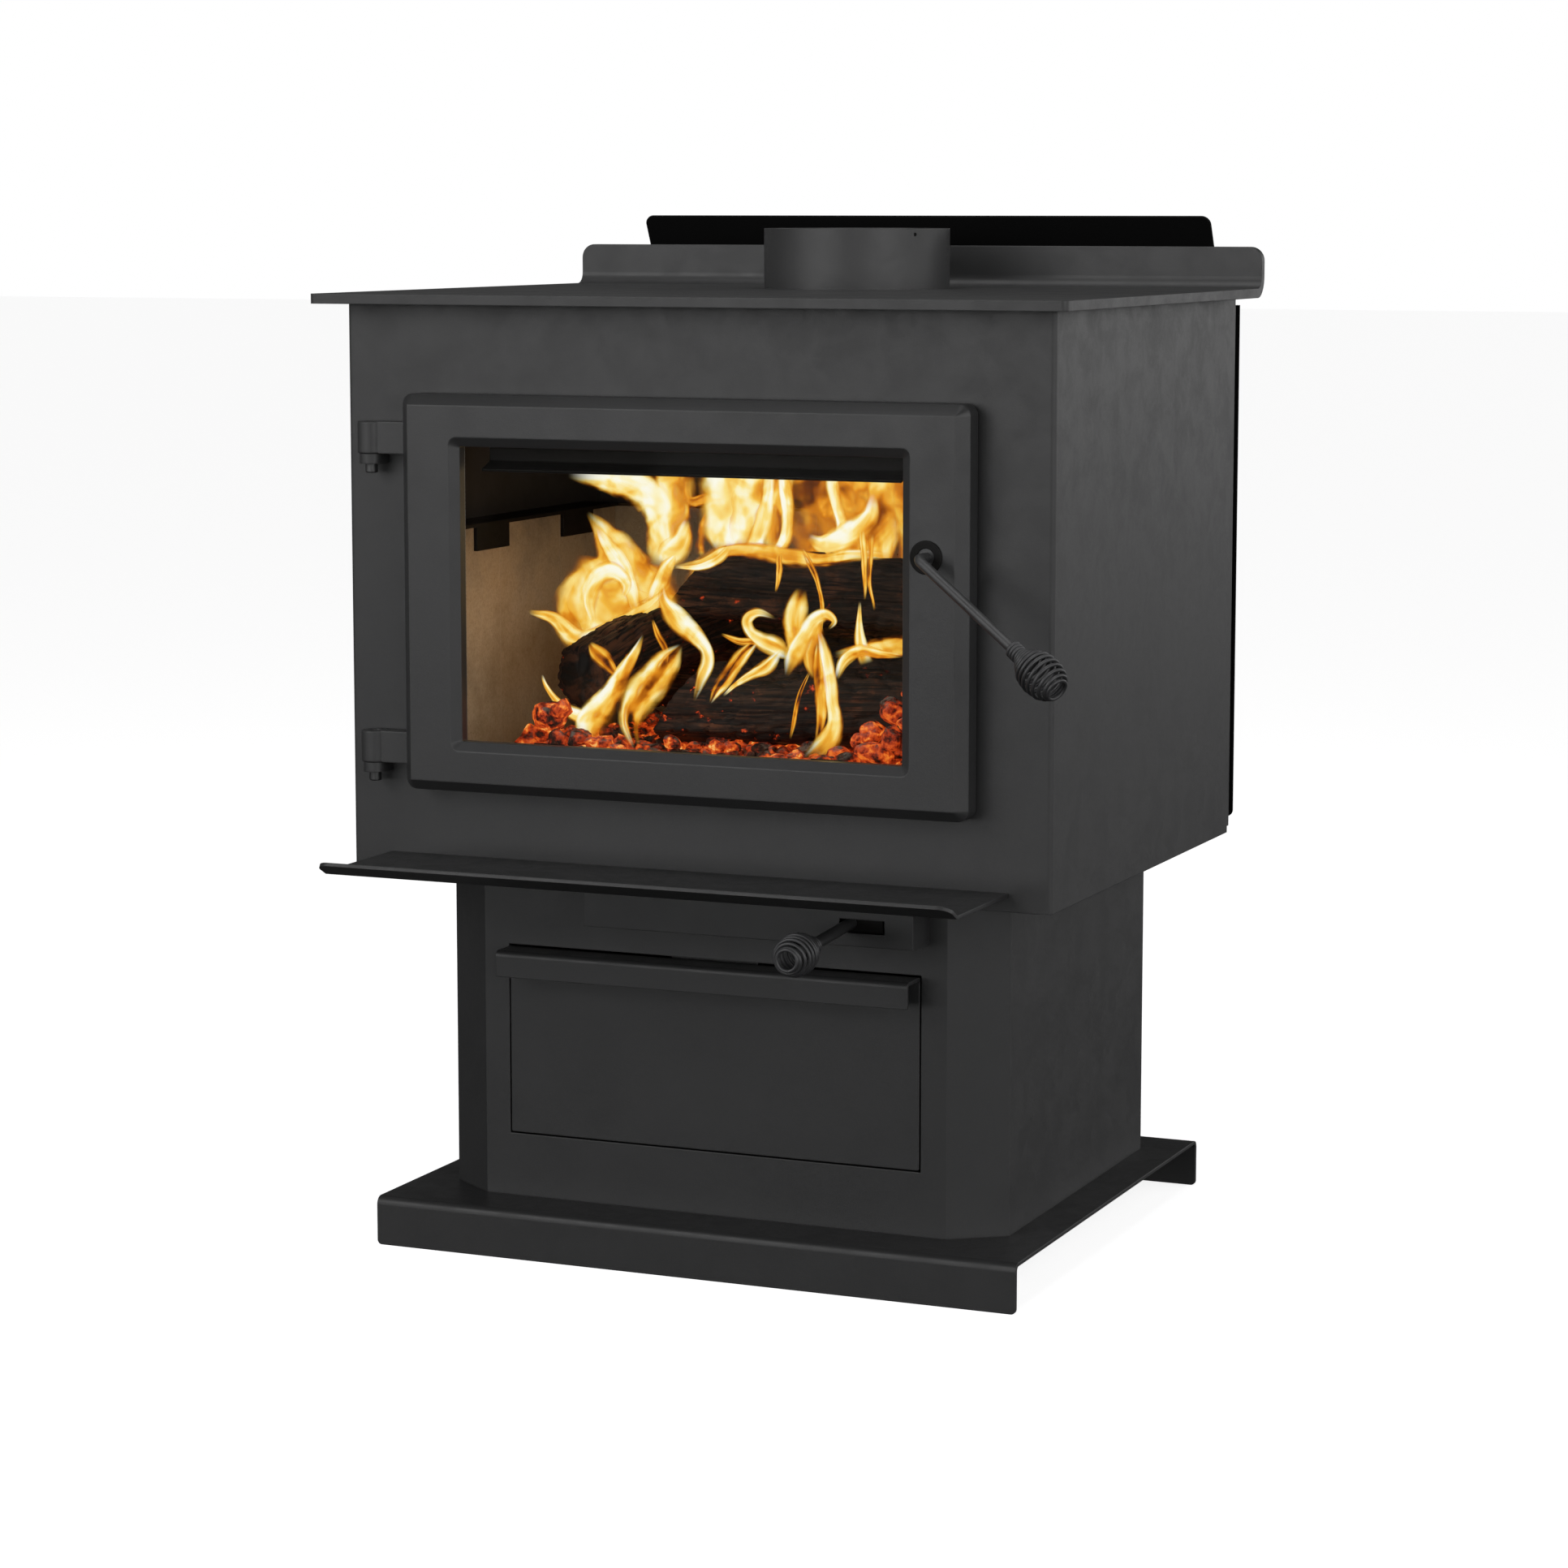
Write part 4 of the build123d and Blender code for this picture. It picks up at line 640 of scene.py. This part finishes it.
def make_coals():
    """The larger lumps, and small ones strewn over the bed, thickest at the front."""
    rng = random.Random(41)
    margin = 0.018    # kept clear along the bed's sides and round the plug
    (x0, y0, z0), (x1, _, _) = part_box("ember_bed")
    plug_lo, plug_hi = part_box("ash_plug")
    lumps = [(Vector((x / 1000, y / 1000, z / 1000)), size / 1000, hot)
             for x, y, z, size, hot in LUMPS]
    for _ in range(230):
        size = rng.uniform(0.0045, 0.0115)
        x, y = rng.uniform(x0 + margin, x1 - margin), y0 + margin + abs(rng.gauss(0, 0.070))
        if plug_lo.x - margin < x < plug_hi.x + margin and y < plug_hi.y + margin:
            y = plug_hi.y + 0.02 + rng.uniform(0, 0.02)
        place = Vector((x, y, z0 + ember_heap(x, y) + rng.uniform(-0.001, 0.008)))
        hot = rng.choice((0.25, 0.55, 0.8, 1.0, 1.0))
        if x > -0.170 or y > 0.13:    # the front left corner has none
            lumps.append((place, size, hot))
    verts, faces, heat = [], [], []
    for place, size, hot in lumps:
        lump = coal_lump(rng, place, size, hot)
        faces += [tuple(i + len(verts) for i in face) for face in lump[1]]
        verts += lump[0]
        heat += lump[2]
    return new_piece("coals", verts, faces, coal, "stove", ["ember_bed"],
                     {"hotness": heat})


coal = glowing_coal()
# the lamps inside the firebox give the light that the embers throw
for piece in (make_ember_bed(), make_coals()):
    piece.visible_diffuse = False


# ------------------------------------------------------------------ flames
def burning_gas():
    """A soft sheet of flame: streaks along the flow, one side hotter, some hollow in the middle,
    edges fading to nothing."""
    t = Tree("burning_gas")
    across, along, run, seed = [t.value(key) for key in ("across", "along", "run", "seed")]
    level, side, hollow = [t.value(key) for key in ("level", "side", "hollow")]
    flow = t.add("CombineXYZ", i0=t.math("MULTIPLY", across, 1.1),
                 i1=t.math("MULTIPLY", run, 24.0), i2=seed).outputs[0]
    streaks = t.noise(flow, 1.3, 1.5, 0.45, 0.5)
    folds = t.noise(t.here(), 42.0, 2.0, 0.5, 0.6)
    tears = t.math("MULTIPLY", t.math("SUBTRACT", t.noise(flow, 2.2, 2.0, 0.5), 0.5), 0.5)
    ragged = t.math("ADD", across, tears)
    away = t.math("ABSOLUTE", ragged)
    hot = t.spread(t.math("MULTIPLY", ragged, side), -0.85, 0.85)
    crisp = t.math("ADD", 0.15, t.math("MULTIPLY", hot, 0.50))
    soft = t.spread(away, 1.0, crisp)
    hole = t.math("MULTIPLY", hollow, t.spread(away, 0.62, 0.10))
    bright = t.math("MULTIPLY", level, t.math("ADD", t.math("MULTIPLY", hot, 0.62), 0.42))
    bright = t.math("MULTIPLY", bright, t.math("ADD", t.math("MULTIPLY", soft, 0.60), 0.45))
    bright = t.math("ADD", bright, t.spread(streaks, 0.32, 0.68, -0.15, 0.15))
    bright = t.math("ADD", bright, t.spread(folds, 0.32, 0.68, -0.14, 0.16))
    bright = t.math("SUBTRACT", bright, t.math("MULTIPLY", hole, 0.60))
    ends = t.math("MULTIPLY", t.spread(along, 0.0, 0.20), t.spread(along, 1.0, 0.76))
    cover = t.math("MULTIPLY", t.math("MULTIPLY", soft, ends), t.spread(bright, 0.02, 0.50))
    colour = t.ramp(bright, (0.0, (0.13, 0.020, 0.005)), (0.18, (0.44, 0.090, 0.006)),
                    (0.36, (0.76, 0.26, 0.012)), (0.54, (0.92, 0.51, 0.060)),
                    (0.72, (0.99, 0.76, 0.24)), (0.86, (1.0, 0.92, 0.58)),
                    (1.0, (1.0, 0.98, 0.84)))
    glow = t.add("Emission", Color=colour, Strength=1.0).outputs[0]
    clear = t.add("BsdfTransparent").outputs[0]
    t.owner.cycles.emission_sampling = "NONE"
    return t.surface(t.add("MixShader", i0=cover, i1=clear, i2=glow).outputs[0])


def flame(name, depth, level, side, hollow, points):
    """A tongue of flame through points (x, z, half width) from foot to tip, standing at a depth
    with its flat side to the door."""
    thick = 0.22    # thickness as a share of the width
    seed = sum(map(ord, name)) * 0.37
    line = smooth_line(points, 9)
    rings, across, along, run = [], [], [], []
    count, gone = 22, 0.0
    for i, p in enumerate(line):
        q, o = line[min(i + 1, len(line) - 1)], line[max(i - 1, 0)]
        t = i / (len(line) - 1)
        gone += (p - o).xy.length
        tangent = Vector((q.x - o.x, 0, q.y - o.y)).normalized()
        out = Vector((-tangent.z, 0, tangent.x))
        half = max(0.0005, p.z) * 1.15
        sway = depth + 0.006 * noise.noise(Vector((seed, t * 2.2, 7)))
        centre = Vector((p.x, sway, p.y))
        ring = []
        for j in range(count):
            a = math.tau * j / count
            inward = Vector((0, 1, 0)) * math.sin(a) * thick
            ring.append(centre + (out * math.cos(a) + inward) * half)
            across.append(math.cos(a))
            along.append(t)
            run.append(gone)
        rings.append(ring)
    verts, faces = skin(rings)
    values = {"across": across, "along": along, "run": run}
    for key, number in (("seed", seed), ("level", level), ("side", side), ("hollow", hollow)):
        values[key] = [number] * len(verts)
    piece = new_piece(name, verts, faces, gas, "stove", (), values)
    piece.visible_diffuse = piece.visible_shadow = False


gas = burning_gas()
FLAMES = [
    # depth, level, hotter side, hollow, (x, z, half width) from the foot to the tip, with depth
    # and points in millimetres
    # behind the upper log, under the tubes
    (335, 0.46, 0.0, 0.0, [(-10, 525, 26), (-12, 565, 44), (-8, 605, 48), (-15, 652, 40)]),
    (330, 0.42, 0.2, 0.5, [(45, 525, 26), (50, 570, 44), (46, 605, 44), (40, 652, 34)]),
    (325, 0.36, 0.0, 0.0, [(105, 520, 22), (110, 565, 36), (100, 610, 34), (104, 652, 22)]),
    (300, 0.58, -0.4, 0.0, [(48, 545, 10), (44, 578, 19), (46, 605, 16), (42, 652, 12)]),
    (295, 0.44, 0.3, 0.4, [(78, 540, 10), (80, 578, 18), (72, 610, 16), (76, 652, 10)]),
    (262, 0.72, 0.0, 0.0, [(-120, 508, 12), (-104, 528, 18), (-86, 545, 18), (-66, 558, 14),
                           (-46, 566, 6)]),
    (258, 0.95, 0.4, 0.0, [(-112, 520, 3), (-98, 534, 7), (-82, 548, 8), (-64, 558, 6),
                           (-50, 566, 2)]),
    # between the lip and the upper log, left to right
    (255, 1.00, -0.3, 0.0, [(-141, 542, 9), (-136, 562, 15), (-139, 585, 14), (-144, 603, 16),
                            (-164, 615, 14), (-195, 619, 9), (-226, 622, 3)]),
    (258, 0.70, 0.5, 0.2, [(-132, 555, 8), (-125, 580, 16), (-124, 604, 18), (-132, 652, 16)]),
    (248, 1.05, 0.3, 0.0, [(-136, 549, 8), (-124, 560, 12), (-114, 573, 9), (-111, 588, 3)]),
    (262, 0.40, 0.0, 0.0, [(-108, 556, 6), (-101, 575, 7), (-94, 596, 3)]),
    (265, 0.34, 0.0, 0.0, [(-120, 604, 3), (-110, 602, 6), (-99, 605, 5), (-92, 601, 1)]),
    (262, 1.10, -0.2, 0.0, [(-82, 560, 10), (-81, 576, 22), (-77, 596, 28), (-74, 620, 32),
                            (-73, 654, 28)]),
    (258, 0.82, 0.3, 0.0, [(-62, 562, 10), (-56, 590, 19), (-58, 618, 18), (-60, 652, 14)]),
    (243, 0.74, 0.0, 0.3, [(-30, 560, 9), (-25, 590, 14), (-23, 615, 14), (-24, 652, 12)]),
    (238, 1.05, -0.3, 0.0, [(-50, 549, 3), (-45, 569, 8), (-36, 590, 9), (-31, 610, 6),
                            (-30, 650, 5)]),
    (236, 1.05, 0.3, 0.0, [(-24, 564, 4), (-14, 574, 6), (-11, 595, 6), (-13, 612, 6),
                           (-18, 650, 5)]),
    (250, 1.00, 0.0, 0.0, [(27, 574, 3), (31, 588, 5), (26, 604, 6), (23, 622, 6), (22, 650, 5)]),
    (232, 1.00, 0.5, 0.0, [(6, 578, 3), (19, 571, 8), (36, 575, 12), (53, 586, 11), (64, 599, 8),
                           (66, 616, 3)]),
    # along the front edge of the upper log, with thin strands hanging from it
    (196, 0.72, 0.4, 0.0, [(-106, 550, 2), (-75, 556, 4), (-50, 566, 6), (-20, 566, 8),
                           (8, 563, 8), (34, 562, 6), (65, 567, 5), (104, 567, 2)]),
    (192, 0.95, 0.0, 0.0, [(-98, 552, 1), (-74, 553, 3), (-56, 560, 4), (-44, 572, 3)]),
    (190, 0.62, 0.0, 0.0, [(0, 568, 3), (-1, 552, 3), (-4, 534, 1)]),
    (172, 0.70, 0.0, 0.0, [(81, 592, 3), (82, 562, 3), (82, 532, 1)]),
    (172, 0.60, 0.0, 0.0, [(89, 588, 3), (87, 552, 2), (91, 524, 1)]),
    (165, 0.65, 0.0, 0.3, [(30, 575, 1), (37, 561, 3), (45, 545, 2), (49, 528, 2), (47, 500, 1)]),
    # over the left log
    (214, 0.78, 0.0, 0.0, [(-146, 484, 30), (-164, 508, 44), (-166, 533, 38), (-160, 556, 23),
                           (-170, 576, 12), (-188, 594, 2)]),
    (211, 0.66, -0.2, 0.3, [(-176, 482, 18), (-194, 504, 24), (-192, 530, 17), (-184, 550, 3)]),
    (209, 0.71, 0.2, 0.0, [(-110, 506, 16), (-122, 528, 20), (-136, 550, 14), (-146, 570, 3)]),
    (196, 1.00, -0.4, 0.0, [(-136, 512, 4), (-141, 530, 8), (-150, 550, 9), (-162, 568, 7),
                            (-172, 584, 2)]),
    (193, 0.95, 0.3, 0.0, [(-172, 500, 3), (-176, 522, 7), (-168, 540, 9), (-154, 546, 8),
                           (-142, 536, 5), (-146, 522, 1)]),
    (199, 0.88, 0.0, 0.0, [(-184, 486, 9), (-200, 494, 9), (-214, 504, 6), (-238, 509, 2)]),
    (190, 0.80, 0.4, 0.0, [(-188, 486, 4), (-164, 494, 7), (-140, 505, 8), (-118, 519, 6),
                           (-104, 534, 1)]),
    (200, 0.84, 0.3, 0.0, [(-122, 522, 4), (-114, 538, 8), (-106, 552, 6), (-100, 562, 1)]),
    # in front of the logs, left to right
    (88, 1.13, 0.3, 0.3, [(-169, 470, 1), (-166, 460, 2), (-158, 450, 3), (-146, 442, 5),
                          (-132, 436, 6), (-112, 430, 3)]),
    (75, 0.94, 0.7, 0.3, [(-120, 420, 10), (-116, 434, 14), (-100, 456, 10), (-87, 476, 7),
                          (-77, 493, 4), (-70, 508, 1)]),
    (80, 0.94, 0.2, 1.0, [(-80, 414, 4), (-84, 436, 10), (-77, 455, 14), (-62, 472, 14),
                          (-49, 488, 10), (-40, 500, 2)]),
    (82, 0.59, 0.0, 0.3, [(-124, 498, 2), (-116, 489, 7), (-105, 480, 6), (-95, 470, 1)]),
    (115, 0.62, 0.0, 0.3, [(-83, 516, 1), (-78, 503, 3), (-71, 490, 3), (-69, 478, 1)]),
    (128, 0.99, 0.5, 0.3, [(-79, 545, 2), (-77, 530, 6), (-64, 514, 10), (-50, 503, 8),
                           (-40, 492, 6), (-39, 480, 6), (-44, 467, 5), (-50, 448, 1)]),
    (122, 0.85, 0.4, 0.7, [(12, 504, 2), (-4, 488, 6), (-16, 472, 6), (-26, 460, 5),
                           (-33, 448, 1)]),
    (116, 1.01, 0.0, 0.3, [(34, 496, 2), (21, 482, 6), (6, 474, 4), (-10, 464, 2), (-20, 455, 1)]),
    (120, 0.72, 0.0, 0.3, [(-22, 506, 1), (-8, 501, 3), (6, 501, 3), (16, 498, 1)]),
    (118, 0.99, 0.0, 0.3, [(42, 489, 2), (28, 497, 8), (14, 502, 7), (5, 509, 5), (3, 519, 5),
                           (12, 525, 4), (28, 521, 1)]),
    (150, 0.79, 0.0, 0.3, [(37, 482, 3), (33, 498, 9), (31, 512, 10), (33, 527, 10),
                           (37, 543, 5)]),
    (114, 0.89, 0.3, 0.3, [(38, 474, 2), (47, 493, 9), (57, 510, 8), (63, 521, 6), (73, 526, 5),
                           (80, 521, 3), (74, 514, 1)]),
    (116, 0.69, 0.2, 0.3, [(62, 472, 4), (61, 494, 10), (63, 511, 6), (64, 524, 2)]),
    (85, 1.04, -0.4, 0.3, [(77, 516, 2), (83, 498, 5), (87, 478, 6), (89, 458, 6), (91, 441, 7),
                           (84, 425, 10), (66, 411, 4)]),
    (88, 0.62, 0.0, 0.3, [(77, 508, 2), (77, 490, 5), (79, 470, 6), (79, 446, 5), (76, 424, 2)]),
    (80, 0.55, 0.0, 0.3, [(74, 484, 1), (66, 466, 2), (61, 448, 2), (56, 428, 1)]),
    (125, 0.99, -0.3, 0.3, [(104, 486, 7), (99, 502, 6), (98, 518, 3), (97, 537, 1)]),
    (112, 0.94, 0.4, 0.3, [(83, 474, 2), (90, 491, 5), (104, 498, 5), (120, 496, 4),
                           (140, 495, 1)]),
    (196, 0.62, 0.0, 0.0, [(46, 484, 3), (85, 491, 8), (122, 494, 9), (160, 490, 6)]),
    (110, 0.85, 0.0, 0.3, [(158, 430, 5), (153, 450, 6), (156, 474, 2)]),
]
for number, (depth, level, side, hollow, points) in enumerate(FLAMES):
    points = [(x / 1000, z / 1000, half / 1000) for x, z, half in points]
    flame(f"flame_{number:02d}", depth / 1000, level, side, hollow, points)


def fire_light(name, at, power, size=0.05):
    """A warm lamp inside the firebox for the light that the flames throw."""
    lamp = bpy.data.lights.new(name, "POINT")
    lamp.energy, lamp.color, lamp.shadow_soft_size = power, (1.0, 0.60, 0.30), size
    holder = bpy.data.objects.new(name, lamp)
    holder.location = at
    holder.visible_camera = False
    holder.visible_glossy = False
    scene.collection.objects.link(holder)


fire_light("fire_upper", (0.000, 0.250, 0.610), 0.26)
fire_light("fire_left", (-0.150, 0.160, 0.535), 0.13, 0.03)
fire_light("fire_front", (0.020, 0.075, 0.480), 0.10, 0.03)


# ------------------------------------------------------------------ studio
def floor_paper():
    """Seamless white paper, bright enough by itself that only the contact shadow shows."""
    t = Tree("floor_paper")
    tooth = t.noise(t.point(), 60.0, 4.0, 0.6)
    tone = t.mix(tooth, (0.84, 0.84, 0.84, 1), (0.90, 0.90, 0.90, 1))
    t.owner.cycles.emission_sampling = "NONE"
    return t.principled(Base_Color=tone, Roughness=0.9, Normal=t.bump(tooth, 0.0003),
                        Emission_Color=(1, 1, 1, 1), Emission_Strength=0.80)


bpy.ops.mesh.primitive_plane_add(size=60)
floor = bpy.context.object
floor.name = "floor"
floor.data.materials.append(floor_paper())
floor.visible_diffuse = floor.visible_glossy = False


def studio_world():
    """White to the camera. As light: a bright strip all round at eye level, strongest in front,
    and a wide panel at the right."""
    t = Tree("studio", "worlds")
    scene.world = t.owner
    x, y, z = t.add("SeparateXYZ", Vector=t.add("TexCoord").outputs["Generated"]).outputs
    strip = t.math("MULTIPLY", t.spread(z, -0.075, -0.025), t.spread(z, 0.18, 0.12))
    behind = t.math("MULTIPLY", t.spread(y, -0.1, 0.15, 0.0, 1.15),
                    t.spread(x, -0.20, 0.15, 0.12, 1.0))
    before = t.math("MULTIPLY", t.spread(y, 0.1, -0.15, 0.0, 3.05),
                    t.spread(x, -0.97, -0.78, 0.25, 1.0))
    strip = t.math("MULTIPLY", strip, t.math("ADD", behind, before))
    panel = t.math("MULTIPLY", t.spread(z, -0.08, -0.02), t.spread(z, 0.68, 0.52))
    panel = t.math("MULTIPLY", panel,
                   t.math("MULTIPLY", t.spread(x, 0.25, 0.35), t.spread(y, 0.97, 0.83)))
    panel = t.math("MULTIPLY", t.math("MULTIPLY", panel, t.spread(y, -0.77, -0.63)), 1.17)
    strength = t.math("ADD", t.math("ADD", strip, panel), t.spread(y, -0.1, 0.1, 0.0, 0.06))
    light = t.add("Background", Strength=strength).outputs[0]
    plain = t.add("Background", Color=(1, 1, 1, 1), Strength=1.0).outputs[0]
    seen = t.add("LightPath").outputs["Is Camera Ray"]
    both = t.add("MixShader", i0=seen, i1=light, i2=plain).outputs[0]
    t.links.new(both, t.add("OutputWorld").inputs[0])


studio_world()


def softbox(name, at, target, size, power):
    """A square white area light at a point, facing another, with its size in metres and watts."""
    lamp = bpy.data.lights.new(name, "AREA")
    lamp.size, lamp.energy = size, power
    holder = bpy.data.objects.new(name, lamp)
    scene.collection.objects.link(holder)
    holder.location = at
    holder.rotation_euler = (Vector(target) - Vector(at)).to_track_quat("-Z", "Y").to_euler()


heart = (0.02, 0.20, 0.45)    # the point that the softboxes face
softbox("key_left", (-1.6, -2.4, 2.0), heart, 1.4, 28.5)
softbox("key_front", (-0.6, -2.6, 0.9), heart, 1.2, 5.0)
softbox("key_right", (2.4, -1.6, 1.5), heart, 1.4, 9.3)
softbox("key_top", (0.0, 0.1, 2.3), heart, 1.5, 14.5)

# Camera: lens and sensor in millimetres, shift in picture widths
LENS, SENSOR_WIDTH, SHIFT_Y = 94.2, 36.0, -0.03
# its place in metres, and its tilt down and turn to the left in degrees
CAMERA_PLACE, TILT_DOWN, TURN_LEFT = (1.3284, -2.9149, 0.8518), 7.384, 23.107
camera = bpy.data.cameras.new("camera")
camera.lens, camera.sensor_width = LENS, SENSOR_WIDTH
camera.shift_y = SHIFT_Y
viewer = bpy.data.objects.new("camera", camera)
scene.collection.objects.link(viewer)
viewer.location = CAMERA_PLACE
viewer.rotation_euler = (math.radians(90 - TILT_DOWN), 0, math.radians(TURN_LEFT))
scene.camera = viewer
scene.view_settings.view_transform = "Standard"
